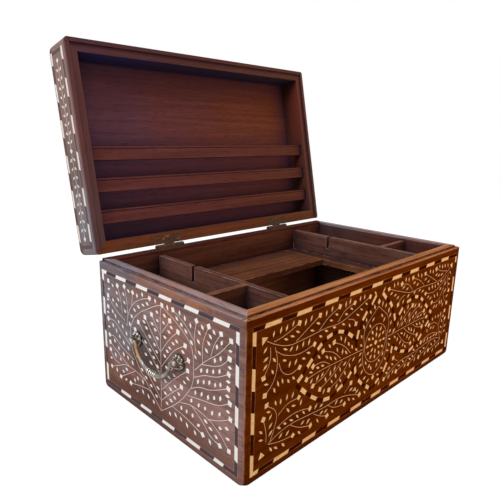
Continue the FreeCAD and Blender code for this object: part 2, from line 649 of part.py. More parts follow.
top_inner = box("top_groove_inner", (f"-{top_x} + {half_strip}", f"{top_x} - {half_strip}"),
                (f"-{top_y} + {half_strip}", f"{top_y} - {half_strip}"), top_skin)
top_groove = cut("lid_top_groove", top_outer, [top_inner])
lid_nodes.append(opened(cut("lid_top_panel", common("lid_top_blank", lid_block, top_slab),
                            [top_groove] + list(lid_grooves.values()))))
doc.recompute()

# Border strips. A row is cut with slanted joints into pieces of bone and ebony by turns.
# How each row is cut, from its left or upper end: what it starts with, then the shares of a full strip that
# its first piece, the ones after it and a last piece of its own have (0 where the last isn't cut apart).
ROW_CUTS = {
    "top": ("bone", 0.5, 1, 0),
    "bottom": ("ebony", 1.56, 1, 0.9),
    "left": ("bone", 0.4, 1, 0),
    "right": ("bone", 0.53, 0.93, 0.55),
}
LONG_ROW_CUTS = {
    "top": ("ebony", 0.7, 1, 0),
    "bottom": ("bone", 0.5, 1, 0),
    "left": ("bone", 0.6, 1, 0),
    "right": ("bone", 0.4, 1, 0),
}
LID_ROW_CUTS = {
    "top": ("ebony", 0.4, 1, 0),
    "bottom": ("ebony", 0.4, 1, 0),
    "left": ("ebony", 3, 1, 0),
    "right": ("ebony", 3, 1, 0),
}


def row_pieces(length, cuts):
    """Cuts one row into (kind, from, to), joining a scrap to the piece before it."""
    kind, first, others, last = cuts
    last_begin = length - last * size("strip_length")
    reach = first * size("strip_length")
    pieces = []
    begin = 0.0
    while length - begin > size("same_place"):
        finish = begin + reach
        end = last_begin if begin < last_begin - size("same_place") else length
        if end - finish < SHORTEST_SHARE * size("strip_length"):
            finish = end
        pieces.append((kind, begin, finish))
        kind = "ebony" if kind == "bone" else "bone"
        begin = finish
        reach = others * size("strip_length")
    return pieces


def border_strips(low_u, high_u, low_v, high_v, cuts, to_space):
    """The strips of one border, as flat outlines laid on the face by to_space(u, v)."""
    half = size("strip_width") / 2
    slant = size("strip_slant") / 2
    length = high_u - low_u + 2 * half
    height = high_v - low_v - 2 * half
    rows = [
        (cuts["top"], length, lambda a, b: (low_u - half + a, high_v + b)),
        (cuts["bottom"], length, lambda a, b: (low_u - half + a, low_v + b)),
        (cuts["left"], height, lambda a, b: (low_u + b, high_v - half - a)),
        (cuts["right"], height, lambda a, b: (high_u + b, high_v - half - a)),
    ]
    strips = {"bone": [], "ebony": []}
    for row_cuts, reach, lay in rows:
        for kind, begin, finish in row_pieces(reach, row_cuts):
            lean_in = slant if begin > 0 else 0
            lean_out = slant if finish < reach else 0
            outline = [(begin - lean_in, -half), (finish - lean_out, -half),
                       (finish + lean_out, half), (begin + lean_in, half)]
            strips[kind].append([to_space(*lay(a, b)) for a, b in outline])
    return strips


def inlaid(outline, inward):
    """One strip: a flat outline given its thickness into the wood."""
    points = [FreeCAD.Vector(*point) for point in outline]
    face = Part.Face(Part.makePolygon(points + points[:1]))
    return face.extrude(FreeCAD.Vector(*inward) * size("strip_thickness"))


def side_strips(side, rows, cuts):
    """The strips of one upright side, as solids already turned to that side."""
    turn, span, reach = SIDES[side]
    half_span = size(span.split(".")[1]) / 2 - size("border_inset")
    face_y = -size(reach.split(".")[1]) / 2
    outlines = border_strips(-half_span, half_span, rows[0], rows[1], cuts, lambda u, v: (u, face_y, v))
    solids = {}
    for kind, shapes in outlines.items():
        solids[kind] = [inlaid(outline, (0, 1, 0)) for outline in shapes]
        for solid in solids[kind]:
            solid.rotate(FreeCAD.Vector(), UP, turn)
    return solids


def strip_node(name, solids):
    node = doc.addObject("Part::Feature", name)
    node.Shape = Part.makeCompound(solids)
    return node


base_low = size("border_inset")
base_high = size("base_height") - size("border_inset")
lid_low = size("base_height") + size("close_gap") + size("lid_rim_inset")
lid_top = size("base_height") + size("lid_height")
base_solids = {"bone": [], "ebony": []}
lid_solids = {"bone": [], "ebony": []}
for side in SIDES:
    is_long = side in ("front", "back")
    lid_high = lid_top - size("lid_long_inset" if is_long else "lid_end_inset")
    on_base = side_strips(side, (base_low, base_high), LONG_ROW_CUTS if is_long else ROW_CUTS)
    on_lid = side_strips(side, (lid_low, lid_high), LID_ROW_CUTS)
    for kind in ("bone", "ebony"):
        base_solids[kind] += on_base[kind]
        lid_solids[kind] += on_lid[kind]
top_half_x = size("box_length") / 2 - size("lid_top_inset")
top_half_y = size("box_depth") / 2 - size("lid_top_inset")
on_top = border_strips(-top_half_x, top_half_x, -top_half_y, top_half_y, LONG_ROW_CUTS,
                       lambda u, v: (u, v, lid_top))
strip_nodes = []
for kind in ("bone", "ebony"):
    lid_solids[kind] += [inlaid(outline, (0, 0, -1)) for outline in on_top[kind]]
    strip_nodes.append(strip_node(f"base_{kind}_strips", base_solids[kind]))
    strip_nodes.append(opened(strip_node(f"lid_{kind}_strips", lid_solids[kind])))
doc.recompute()

NODES = base_nodes + hinge_nodes + [hinge_base_screws, hinge_lid_screws] + handle_nodes
NODES += lid_nodes + slat_nodes + strip_nodes
for item in doc.Objects:
    if "Invalid" in item.State or "Error" in item.State:
        raise RuntimeError(f"{item.Label} did not build: {item.State}")
os.makedirs("parts", exist_ok=True)
for node in NODES:
    if node.Shape.isNull() or not node.Shape.isValid() or not node.Shape.Solids:
        raise RuntimeError(f"{node.Label} has no valid solid")
    node.Shape.exportStep(f"parts/{node.Label}.step")
    print(node.Label, len(node.Shape.Solids), round(node.Shape.Volume, 1))
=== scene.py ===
# %% [markdown]
# # A bone inlay box
# The box was cut, joined and hinged in the CAD model, which is loaded here as a fixed frame. What is left
# for Blender is the looks: the camera and the light, the finishes of wood, bone, ebony and brass, the inlaid
# vines and chips, and the cast handles. Each step below says what it makes and why it is made in that way.

# %% Load the frame
import json
import math
import random
import bpy
from mathutils import Matrix, Vector

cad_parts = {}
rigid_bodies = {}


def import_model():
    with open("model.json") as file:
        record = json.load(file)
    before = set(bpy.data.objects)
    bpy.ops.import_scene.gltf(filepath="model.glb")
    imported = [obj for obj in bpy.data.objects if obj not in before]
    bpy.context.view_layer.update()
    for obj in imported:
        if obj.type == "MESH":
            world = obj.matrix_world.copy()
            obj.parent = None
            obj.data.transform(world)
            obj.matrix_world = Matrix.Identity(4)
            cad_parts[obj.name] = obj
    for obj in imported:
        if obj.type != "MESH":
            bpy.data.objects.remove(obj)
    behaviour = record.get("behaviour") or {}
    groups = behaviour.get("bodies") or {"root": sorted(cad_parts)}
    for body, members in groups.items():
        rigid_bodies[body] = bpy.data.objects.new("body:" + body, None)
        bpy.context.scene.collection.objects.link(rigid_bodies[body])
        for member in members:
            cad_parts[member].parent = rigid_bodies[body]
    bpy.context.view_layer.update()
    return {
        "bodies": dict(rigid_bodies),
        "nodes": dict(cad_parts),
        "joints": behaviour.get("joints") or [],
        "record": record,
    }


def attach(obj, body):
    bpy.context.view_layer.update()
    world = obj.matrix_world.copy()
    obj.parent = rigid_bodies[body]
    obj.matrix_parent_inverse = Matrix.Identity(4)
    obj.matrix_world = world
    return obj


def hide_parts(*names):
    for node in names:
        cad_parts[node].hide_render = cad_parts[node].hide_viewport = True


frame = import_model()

nodes = frame["nodes"]

# %% [markdown]
# Blender's operators work on whatever is selected, and the loaded nodes are all selected. Small helpers keep
# that in hand: one selects certain objects and no others, one opens a piece in edit mode with chosen faces
# selected, and one settles a finished piece, so that its object sits at the origin and its place is in its
# mesh.

# %% Helpers for selecting and settling
MM = 0.001
FACING = 0.5


def select(*pieces):
    """Selects these objects and no others, and makes the first of them active."""
    bpy.ops.object.select_all(action="DESELECT")
    for piece in pieces:
        piece.select_set(True)
    if pieces:
        bpy.context.view_layer.objects.active = pieces[0]


def pick_faces(piece, test):
    """Opens a piece in edit mode with only those faces selected whose centre and normal pass the test."""
    select(piece)
    bpy.ops.object.mode_set(mode="EDIT")
    bpy.ops.mesh.select_mode(type="FACE")
    bpy.ops.mesh.select_all(action="DESELECT")
    bpy.ops.object.mode_set(mode="OBJECT")
    for face in piece.data.polygons:
        face.select = test(face.center, face.normal)
    bpy.ops.object.mode_set(mode="EDIT")


def close_edit():
    bpy.ops.object.mode_set(mode="OBJECT")


def modify(piece, kind, **settings):
    """Adds a modifier to the active piece, sets it up and applies it."""
    bpy.ops.object.modifier_add(type=kind)
    for name, value in settings.items():
        setattr(piece.modifiers[0], name, value)
    bpy.ops.object.modifier_apply(modifier=piece.modifiers[0].name)


def settle(piece):
    select(piece)
    bpy.ops.object.transform_apply()
    return piece


def dress(piece, name, body, material):
    """Names a finished piece, gives it its finish and lets it ride on its body."""
    settle(piece)
    piece.name = name
    piece.data.name = name
    piece.data.materials.clear()
    piece.data.materials.append(material)
    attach(piece, body)
    print(name, len(piece.data.polygons), "faces")
    return piece


# %% [markdown]
# The camera stands where the photographer stood: in front of the left corner, a little above the rim, turned
# about 44 degrees. A 35 mm lens on a 36 mm sensor gives the strong perspective of a phone picture taken
# close by.

# %% Camera
CAMERA_PLACE = (-0.51663, -0.42984, 0.34336)
CAMERA_TURN = (76.307, -1.2, -44.43)
LENS, SENSOR, NEAREST = 34.96, 36, 0.01

bpy.ops.object.camera_add(location=CAMERA_PLACE, rotation=[math.radians(turn) for turn in CAMERA_TURN])
camera = bpy.context.object
camera.data.lens = LENS
camera.data.sensor_width = SENSOR
camera.data.clip_start = NEAREST
bpy.context.scene.camera = camera
bpy.context.scene.view_settings.view_transform = "Standard"
print("camera at", [round(place, 3) for place in camera.location])

# %% [markdown]
# Light and finishes are made of nodes. They need the same few steps again and again, such as adding a node
# and wiring its inputs, so small helpers do that. A shared effect is a node group with named sockets, built
# once and placed in each material with its own values. Every finish starts from the place of a point on the
# box, and ends in a surface with a little bump.

# %% Helpers for nodes
def put(tree, socket, value):
    """Links a socket to another one, or sets it to a plain value."""
    if isinstance(value, bpy.types.NodeSocket):
        tree.links.new(value, socket)
    else:
        socket.default_value = value


def add(tree, kind, inputs=None, **settings):
    """Adds a node, sets its properties, and sets or links its inputs."""
    made = tree.nodes.new(kind)
    for name, value in settings.items():
        setattr(made, name, value)
    for key, value in (inputs or {}).items():
        put(tree, made.inputs[key], value)
    return made


def maths(tree, operation, *values):
    return add(tree, "ShaderNodeMath", dict(enumerate(values)), operation=operation).outputs[0]


def times(tree, first, *others):
    for other in others:
        first = maths(tree, "MULTIPLY", first, other)
    return first


def plus(tree, first, *others):
    for other in others:
        first = maths(tree, "ADD", first, other)
    return first


def vectors(tree, operation, first, second):
    return add(tree, "ShaderNodeVectorMath", {0: first, 1: second}, operation=operation).outputs


def stretched(tree, vector, factors):
    return vectors(tree, "MULTIPLY", vector, factors)["Vector"]


def axes_of(tree, vector):
    return add(tree, "ShaderNodeSeparateXYZ", {0: vector}).outputs


def noise(tree, vector, scale, detail=3.0, twist=0.0):
    return add(tree, "ShaderNodeTexNoise", {"Vector": vector, "Scale": scale, "Detail": detail,
                                            "Distortion": twist}).outputs["Fac"]


def openness(tree, reach):
    """How open a point is to the light, from 0 in a deep corner to 1 on a bare face."""
    return add(tree, "ShaderNodeAmbientOcclusion", {"Distance": reach}, samples=6).outputs["AO"]


def ramp(tree, value, low, high, to_low=0.0, to_high=1.0):
    """Stretches the part of a value between low and high over a new range, and clips the rest."""
    return add(tree, "ShaderNodeMapRange", {"Value": value, "From Min": low, "From Max": high,
                                            "To Min": to_low, "To Max": to_high}).outputs[0]


def blend(tree, factor, first, second, mode="MIX"):
    return add(tree, "ShaderNodeMix", {0: factor, 6: first, 7: second},
               data_type="RGBA", blend_type=mode).outputs[2]


def start_group(name, takes, gives):
    """A node group with named inputs, each with its starting value, and named outputs."""
    group = bpy.data.node_groups.new(name, "ShaderNodeTree")
    for socket, start in takes.items():
        kind = "Vector" if start is None else "Color" if isinstance(start, tuple) else "Float"
        made = group.interface.new_socket(socket, in_out="INPUT", socket_type="NodeSocket" + kind)
        if start is not None:
            made.default_value = start
    for socket in gives:
        kind = "Color" if socket == "Colour" else "Float"
        group.interface.new_socket(socket, in_out="OUTPUT", socket_type="NodeSocket" + kind)
    return group, group.nodes.new("NodeGroupInput").outputs, group.nodes.new("NodeGroupOutput").inputs


def use(tree, group, **inputs):
    """Places a node group in a material. Its sockets are named by single words."""
    made = add(tree, "ShaderNodeGroup", node_tree=group)
    for key, value in inputs.items():
        put(tree, made.inputs[key.capitalize()], value)
    return made.outputs


def start_finish(name):
    """A new material, its nodes and the place of a point in it."""
    material = bpy.data.materials.new(name)
    material.use_nodes = True
    tree = material.node_tree
    return material, tree, add(tree, "ShaderNodeTexCoord").outputs["Object"]


def end_finish(tree, looks, height, strength, depth):
    """Gives the surface its looks, as links or plain values, and a bump."""
    surface = tree.nodes["Principled BSDF"]
    for socket, value in looks.items():
        put(tree, surface.inputs[socket], value)
    bump = add(tree, "ShaderNodeBump", {"Height": height, "Strength": strength, "Distance": depth})
    put(tree, surface.inputs["Normal"], bump.outputs[0])


def shade(red, green, blue):
    """A colour as it reads on a screen, from 0 to 255, made linear for the shader."""
    return tuple((part / 255) ** 2.2 for part in (red, green, blue)) + (1.0,)


# %% [markdown]
# Light and ground. The photo was taken by a window: soft cool light falls on the left end and a warmer,
# weaker light reaches the front. Large area lamps do that, one more keeps the back from going dark, and the
# world fills the shadows. The world and the floor show white to the camera, and the floor still takes the
# box's soft shadow.

# %% Floor, world and lamps
FILL_COLOUR, FILL_STRENGTH = (0.86, 0.93, 1.0, 1), 0.2
FLOOR_SIZE, FLOOR_LEVEL = 8, -0.0004
PAPER_COLOUR, PAPER_DULL, PAPER_GLOW, GLOW_SHARE = (0.45, 0.43, 0.42, 1), 0.9, 1.32, 0.72
# Each lamp has a place, a point it aims at, a size, a power and a colour.
LAMPS = {
    "window": ((-1.7, 0.1, 1.25), (-0.1, 0.05, 0.15), 1.3, 31, (0.9, 0.95, 1.0)),
    "room": ((0.25, -1.0, 0.3), (0.06, -0.1, 0.1), 0.8, 5.2, (1.0, 0.5, 0.18)),
    "overhead": ((-0.3, -0.35, 1.9), (0, 0.05, 0.15), 1.4, 12, (0.93, 0.96, 1.0)),
    "behind": ((0.9, 1.8, 1.1), (0.05, 0.15, 0.2), 1.3, 13, (1.0, 0.97, 0.93)),
}


def white_to_camera(tree, plain, white, end):
    """Shows a plain shader as a white one to the rays of the camera, of gloss and of glass."""
    rays = add(tree, "ShaderNodeLightPath").outputs
    either = maths(tree, "MAXIMUM", rays["Is Glossy Ray"], rays["Is Transmission Ray"])
    seen = maths(tree, "MAXIMUM", rays["Is Camera Ray"], either)
    mix = add(tree, "ShaderNodeMixShader", {0: seen, 1: plain.outputs[0], 2: white.outputs[0]})
    put(tree, tree.nodes[end].inputs["Surface"], mix.outputs[0])


world = bpy.data.worlds.new("soft_room")
world.use_nodes = True
sky = world.node_tree
fill = sky.nodes["Background"]
fill.inputs["Color"].default_value = FILL_COLOUR
fill.inputs["Strength"].default_value = FILL_STRENGTH
white_to_camera(sky, fill, add(sky, "ShaderNodeBackground", {"Color": (1, 1, 1, 1)}), "World Output")
bpy.context.scene.world = world

bpy.ops.mesh.primitive_plane_add(size=FLOOR_SIZE, location=(0, 0, FLOOR_LEVEL))
floor = bpy.context.object
floor.name = "floor"
paper = bpy.data.materials.new("white_paper")
paper.use_nodes = True
tree = paper.node_tree
matt = tree.nodes["Principled BSDF"]
matt.inputs["Base Color"].default_value = PAPER_COLOUR
matt.inputs["Roughness"].default_value = PAPER_DULL
glow = add(tree, "ShaderNodeEmission", {"Strength": PAPER_GLOW})
half = add(tree, "ShaderNodeMixShader", {0: GLOW_SHARE, 1: matt.outputs[0], 2: glow.outputs[0]})
white_to_camera(tree, matt, half, "Material Output")
floor.data.materials.append(paper)

for name, (place, aim, size, power, colour) in LAMPS.items():
    bpy.ops.object.light_add(type="AREA", location=place)
    light = bpy.context.object
    light.name = name
    light.data.shape = "DISK"
    light.data.size = size
    light.data.energy = power
    light.data.color = colour
    light.rotation_euler = (Vector(aim) - Vector(place)).to_track_quat("-Z", "Y").to_euler()
print(len(LAMPS), "lamps and a white floor")

# %% [markdown]
# Grain. The box is of a dark, open-pored wood. Seen closely it has three layers: broad darker bands, fine
# streaks along the board, and short dark pores. Each layer is noise that is drawn out along the grain, so
# the group expects coordinates whose first axis runs along the board.

# %% Shared effect: wood grain
wood_grain, taken, given = start_group(
    "wood_grain", {"Vector": None, "Pale": shade(130, 80, 50), "Deep": shade(60, 30, 20), "Figure": 0.5,
                   "Pores": 0.6}, ("Colour", "Height"))
tree = wood_grain
bands = noise(tree, stretched(tree, taken["Vector"], (2.6, 17, 17)), 1.0, 4.0, 0.9)
rings = add(tree, "ShaderNodeTexWave", {"Vector": stretched(tree, taken["Vector"], (1.0, 9, 9)), "Scale": 2.2,
                                        "Distortion": 9.0, "Detail": 3.0, "Detail Scale": 0.9},
            bands_direction="Y").outputs["Fac"]
streaks = noise(tree, stretched(tree, taken["Vector"], (7, 190, 190)), 1.0, 4.0)
pores = ramp(tree, noise(tree, stretched(tree, taken["Vector"], (55, 950, 950)), 1.0, 1.0), 0.58, 0.72)
figure = plus(tree, ramp(tree, bands, 0.3, 0.72, -0.6, 0.6), ramp(tree, rings, 0.0, 1.0, -0.25, 0.25))
tone = plus(tree, times(tree, figure, taken["Figure"]), ramp(tree, streaks, 0.35, 0.7, 0.2, 0.8))
tone = maths(tree, "MAXIMUM", maths(tree, "MINIMUM", tone, 1.0), 0.0)
pitted = times(tree, pores, taken["Pores"])
dark_pore = blend(tree, 0.75, taken["Deep"], (0, 0, 0, 1))
put(tree, given["Colour"], blend(tree, pitted, blend(tree, tone, taken["Deep"], taken["Pale"]), dark_pore))
put(tree, given["Height"], maths(tree, "SUBTRACT", times(tree, streaks, 0.5), pitted))
print("group", wood_grain.name)

# %% [markdown]
# Wear and shade. Handling rubs the finish off the edges and leaves cloudy patches on the flats; on the wood
# the pale edges are partly painted highlight. The edge mask compares the true normal with the normal of a
# softened edge, and noise breaks it up. The patches are two sizes of noise. Painted shade darkens corners,
# creases and recesses, which ambient occlusion finds.

# %% Shared effects: rubbed and highlit edges, cloudy patches and painted shade in corners
# Bright edges: finish rubbed off, which on the wood also stands for painted highlight.
rubbed_and_highlit_edges, taken, given = start_group("rubbed_and_highlit_edges", {"Vector": None, "Width": 0.0012, "Amount": 1.0},
                                         ("Mask",))
tree = rubbed_and_highlit_edges
soft = add(tree, "ShaderNodeBevel", {"Radius": taken["Width"]}, samples=4).outputs[0]
true = add(tree, "ShaderNodeNewGeometry").outputs["Normal"]
edge = ramp(tree, vectors(tree, "DOT_PRODUCT", soft, true)["Value"], 0.99, 0.8)
broken = ramp(tree, noise(tree, taken["Vector"], 70.0, 4.0), 0.34, 0.62)
put(tree, given["Mask"], times(tree, edge, broken, taken["Amount"]))

cloudy_patches, taken, given = start_group("cloudy_patches", {"Vector": None, "Size": 14.0, "Amount": 1.0},
                                           ("Mask",))
tree = cloudy_patches
wide = noise(tree, taken["Vector"], taken["Size"], 3.0, 0.6)
close = noise(tree, taken["Vector"], times(tree, taken["Size"], 9.0), 3.0)
cloud = plus(tree, wide, times(tree, maths(tree, "SUBTRACT", close, 0.5), 0.35))
put(tree, given["Mask"], times(tree, ramp(tree, cloud, 0.45, 0.68), taken["Amount"]))

# Painted shade: this mask darkens corners, creases and recesses where shadow falls.
corner_shade_mask, taken, given = start_group("corner_shade_mask", {"Reach": 0.03, "Amount": 0.8}, ("Mask",))
tree = corner_shade_mask
put(tree, given["Mask"], times(tree, ramp(tree, openness(tree, taken["Reach"]), 0.95, 0.35), taken["Amount"]))
print("groups", rubbed_and_highlit_edges.name, cloudy_patches.name, corner_shade_mask.name)

# %% [markdown]
# Zones. Each side of the box is one board, but its outside is waxed, its inside was left dry and its rim is
# rubbed pale by the lid. Palms have worn the shoulder just under the rim, and painted shade darkens the step
# of the lip. Below the raised floor the wood was never stained. The zones are found from the place on the
# box.
# Pieces of the open lid are first turned back about the hinge to where they lie when the box is shut, so
# that one group serves both halves. The ends have zones of their own: a grey painted sheen of the window lies
# towards the back and the top, the foot is browner and the wood round the handle is darker. The inside of
# the lid has painted cool shade towards its left end and painted warm light towards its right.

# %% Shared effects: zones of the box, of its ends and of its lid
HALF_LENGTH, HALF_DEPTH, WALL, LIP_STEP = 0.230, 0.138, 0.016, 0.006
# The heights of the zones, how far they reach up and down, and the play that is left at their borders.
LID_PANEL, STAIN_FOOT, RIM, SHOULDER, STEP = 0.218, 0.1315, 0.1788, 0.1725, 0.1775
RIM_REACH, SHOULDER_REACH, STEP_REACH, LIP_REACH = 0.0023, 0.004, 0.001, 0.0008
WALL_PLAY, PANEL_PLAY, FACE_PLAY = 0.0005, 0.0015, 0.0006
# Where palms rest along the ends, how far their wear goes, and the middle of the darker patch round the
# handle.
PALM, PALM_NEAR, PALM_FAR = -0.035, 0.045, 0.085
HANDLE_DARKENING = (0, 0.022, 0.082)
HINGE = Vector((0, 0.1416, 0.1802))
LID_OPEN = math.radians(101.8)
open_lid = Matrix.Translation(HINGE) @ Matrix.Rotation(-LID_OPEN, 4, "X") @ Matrix.Translation(-HINGE)
shut_lid = open_lid.inverted()

box_zones, taken, given = start_group("box_zones", {"Vector": None},
                                      ("Inside", "Rim", "Raw", "Shoulder", "Shaded_step"))
tree = box_zones
x, y, z = axes_of(tree, taken["Vector"])
aside, away = maths(tree, "ABSOLUTE", x), maths(tree, "ABSOLUTE", y)
between_ends = maths(tree, "LESS_THAN", aside, HALF_LENGTH - WALL + WALL_PLAY)
between_sides = maths(tree, "LESS_THAN", away, HALF_DEPTH - WALL + WALL_PLAY)
inner = times(tree, between_ends, between_sides, maths(tree, "LESS_THAN", z, LID_PANEL + PANEL_PLAY))
put(tree, given["Inside"], inner)
put(tree, given["Raw"], times(tree, inner, maths(tree, "LESS_THAN", z, STAIN_FOOT)))
put(tree, given["Rim"], maths(tree, "COMPARE", z, RIM, RIM_REACH))
palm = ramp(tree, maths(tree, "ABSOLUTE", plus(tree, y, -PALM)), PALM_FAR, PALM_NEAR)
held = times(tree, palm, maths(tree, "COMPARE", z, SHOULDER, SHOULDER_REACH))
put(tree, given["Shoulder"], times(tree, maths(tree, "SUBTRACT", 1.0, inner), held))
# The step of the lip, whose upright face is darkened as painted shade.
lip = maths(tree, "MAXIMUM", maths(tree, "COMPARE", aside, HALF_LENGTH - LIP_STEP, LIP_REACH),
            maths(tree, "COMPARE", away, HALF_DEPTH - LIP_STEP, LIP_REACH))
put(tree, given["Shaded_step"], times(tree, lip, maths(tree, "COMPARE", z, STEP, STEP_REACH)))

# Painted sheen of the window greys the ends towards the back and the top; the foot is browner and the wood
# round the handle darker.
end_zones_and_sheen, taken, given = start_group("end_zones_and_sheen", {"Vector": None}, ("Window_sheen", "Foot", "Round_handle"))
tree = end_zones_and_sheen
_, y, z = axes_of(tree, taken["Vector"])
waver = ramp(tree, noise(tree, taken["Vector"], 26.0, 4.0), 0.3, 0.7, -0.03, 0.03)
backward, upward = plus(tree, y, waver), plus(tree, z, waver)
put(tree, given["Window_sheen"], times(tree, ramp(tree, backward, -0.02, 0.1), ramp(tree, upward, 0.045, 0.08)))
behind = ramp(tree, backward, -0.12, 0.02, 0.35, 1.0)
put(tree, given["Foot"], times(tree, behind, ramp(tree, upward, 0.085, 0.025)))
# Darker towards the handle.
around = vectors(tree, "DISTANCE", stretched(tree, taken["Vector"], (0, 1, 1)), HANDLE_DARKENING)["Value"]
put(tree, given["Round_handle"], ramp(tree, plus(tree, around, waver), 0.05, 0.01))

# Painted light inside the lid: cool shade towards its left end and warm light towards its right.
lid_painted_light, taken, given = start_group("lid_painted_light", {"Vector": None}, ("Cool_shade", "Warm_light"))
tree = lid_painted_light
zones = use(tree, box_zones, vector=taken["Vector"])
within = maths(tree, "MAXIMUM", zones["Inside"], zones["Rim"])
waver = ramp(tree, noise(tree, taken["Vector"], 9.0, 3.0), 0.3, 0.7, -0.06, 0.06)
rightward = plus(tree, axes_of(tree, taken["Vector"])[0], waver)
put(tree, given["Cool_shade"], times(tree, within, ramp(tree, rightward, 0.04, -0.2)))
put(tree, given["Warm_light"], times(tree, within, ramp(tree, rightward, -0.05, 0.16)))
print("groups", box_zones.name, end_zones_and_sheen.name, lid_painted_light.name)

# %% [markdown]
# The wood itself. One function makes every board: it lines the grain up with the board, mixes the zones,
# then adds cloudy patches, painted shade in creases and corners, and rubbed edges that are partly painted
# highlight. A little bump from the grain keeps the surface from looking like glass.

# %% Wood finishes
ALONG_X = (0, 0, 0)
ALONG_Y = (0, 0, math.pi / 2)
RAW = (shade(196, 148, 122), shade(134, 94, 76))
# The colour of painted shade in creases and corners.
CORNER_SHADE = shade(36, 22, 29)
INSIDE_FADED = 0.12


# Corners and recesses of a board are darkened towards a colour of painted shade.
def board(name, along, outside, inside, rim, lid=False, shift=0.0, figure=0.5, faded=0.3, patch=None,
          shoulder=None, zone_tints=(), dirt=CORNER_SHADE, inner_reach=0.035, shine=0.12, wax=0.45):
    """A wood finish. Outside, inside and rim are each a pale and a deep colour."""
    material, tree, place = start_finish(name)
    if lid:
        place = add(tree, "ShaderNodeMapping", {"Vector": place, "Location": shut_lid.to_translation(),
                                                "Rotation": shut_lid.to_euler()}).outputs[0]
    zones = use(tree, box_zones, vector=place)

    def by_side(outer, inner):
        return ramp(tree, zones["Inside"], 0.0, 1.0, outer, inner)

    shifted = (shift, shift * 0.7, shift * 0.3)
    grain_place = add(tree, "ShaderNodeMapping", {"Vector": place, "Location": shifted,
                                                  "Rotation": along}).outputs[0]
    waxed, dry, raw, worn = [use(tree, wood_grain, vector=grain_place, pale=pale, deep=deep, figure=figure)
                             for pale, deep in (outside, inside, RAW, rim)]
    colour = waxed["Colour"]
    for zone, grain in (("Inside", dry), ("Raw", raw), ("Rim", worn)):
        colour = blend(tree, zones[zone], colour, grain["Colour"])
    patches = use(tree, cloudy_patches, vector=place, size=16.0, amount=by_side(faded, INSIDE_FADED))["Mask"]
    colour = blend(tree, patches, colour, patch or worn["Colour"])
    if shoulder:
        held = use(tree, cloudy_patches, vector=place, size=24.0, amount=zones["Shoulder"])["Mask"]
        colour = blend(tree, held, colour, shoulder)
    # Each group of tints may carry painted sheen or painted light as well as wear.
    for group, tints in zone_tints:
        places = use(tree, group, vector=place)
        for zone, tint in tints.items():
            colour = blend(tree, places[zone], colour, blend(tree, 1.0, colour, tint, "MULTIPLY"))
    # Painted shade: creases, the step of the lip, corners and recesses are darkened where shadow falls;
    # outside, it also darkens round the handle castings and near the floor.
    crease_shade = use(tree, corner_shade_mask, reach=0.004, amount=0.85)["Mask"]
    crease_shade = maths(tree, "MAXIMUM", times(tree, zones["Shaded_step"], 0.75), crease_shade)
    colour = blend(tree, crease_shade, colour, CORNER_SHADE)
    corners = use(tree, corner_shade_mask, reach=by_side(0.012, inner_reach), amount=by_side(0.6, 0.85))["Mask"]
    colour = blend(tree, corners, colour, dirt)
    # The pale edges are partly finish rubbed off and partly painted highlight along the edges of the rim and
    # lip.
    edges = use(tree, rubbed_and_highlit_edges, vector=place, width=0.002, amount=0.8)["Mask"]
    colour = blend(tree, edges, colour, rim[0])
    dull = plus(tree, wax, times(tree, zones["Inside"], 0.2), times(tree, patches, 0.15))
    end_finish(tree, {"Base Color": colour, "Roughness": dull, "Specular IOR Level": shine},
               waxed["Height"], 0.35, 0.0004)
    return material


WARM = (shade(112, 57, 9), shade(80, 37, 4))
# The ends' colours are partly the wood's and partly lifted as painted sheen, in place of the gloss that their
# low shine leaves out.
HAZY = (shade(159, 119, 111), shade(109, 80, 73))
HAZY_LID = (shade(150, 114, 104), shade(100, 74, 66))
DRY_RED = (shade(105, 61, 51), shade(74, 41, 34))
LID_RED = (shade(118, 68, 62), shade(94, 52, 46))
SLAT_RED = (shade(108, 62, 58), shade(80, 44, 41))
RAIL = (shade(104, 62, 56), shade(72, 41, 37))
HINGE_RAIL = (shade(122, 68, 42), shade(82, 44, 27))
RUBBED = (shade(214, 150, 106), shade(132, 78, 42))
HAZY_RIM = (shade(188, 156, 149), shade(110, 80, 75))
GREY_DRY = (shade(124, 82, 68), shade(78, 46, 35))
WELL = (shade(180, 126, 92), shade(130, 84, 58))
OLIVE_DRY = (shade(110, 66, 44), shade(68, 38, 24))
# The brow, the inner face of the front rail, faces down when the lid is open: its navy colours are painted
# shade.
LID_BROW_SHADE = (shade(70, 66, 100), shade(54, 50, 78))
BACK_RED = (shade(118, 78, 64), shade(84, 52, 42))
# The navy colour of painted shade inside the lid.
LID_SHADE = shade(36, 31, 62)
# Tints for the ends: grey painted sheen, a browner foot and darker wood round the handle.
END_TINTS_WITH_SHEEN = (end_zones_and_sheen, {"Window_sheen": (0.71, 1.09, 1.45, 1), "Foot": (0.42, 0.27, 0.17, 1),
                       "Round_handle": (0.42, 0.34, 0.28, 1)})
# Tints of painted cool shade and painted warm light for the parts of the lid.
LID_LIGHT_TINTS = (lid_painted_light, {"Cool_shade": (0.76, 1.12, 2.5, 1), "Warm_light": (1.06, 1.04, 0.62, 1)})
BROW_LIGHT_TINTS = (lid_painted_light, {"Cool_shade": (0.87, 1.05, 1.8, 1), "Warm_light": (1.05, 1.0, 0.6, 1)})
LID_END_LIGHT_TINTS = (lid_painted_light, {"Cool_shade": (0.93, 0.75, 1.0, 1), "Warm_light": (1.0, 0.62, 0.3, 1)})
SLAT_LIGHT_TINTS = (lid_painted_light, {"Cool_shade": (1.08, 1.12, 1.25, 1), "Warm_light": (1.0, 1.02, 0.6, 1)})

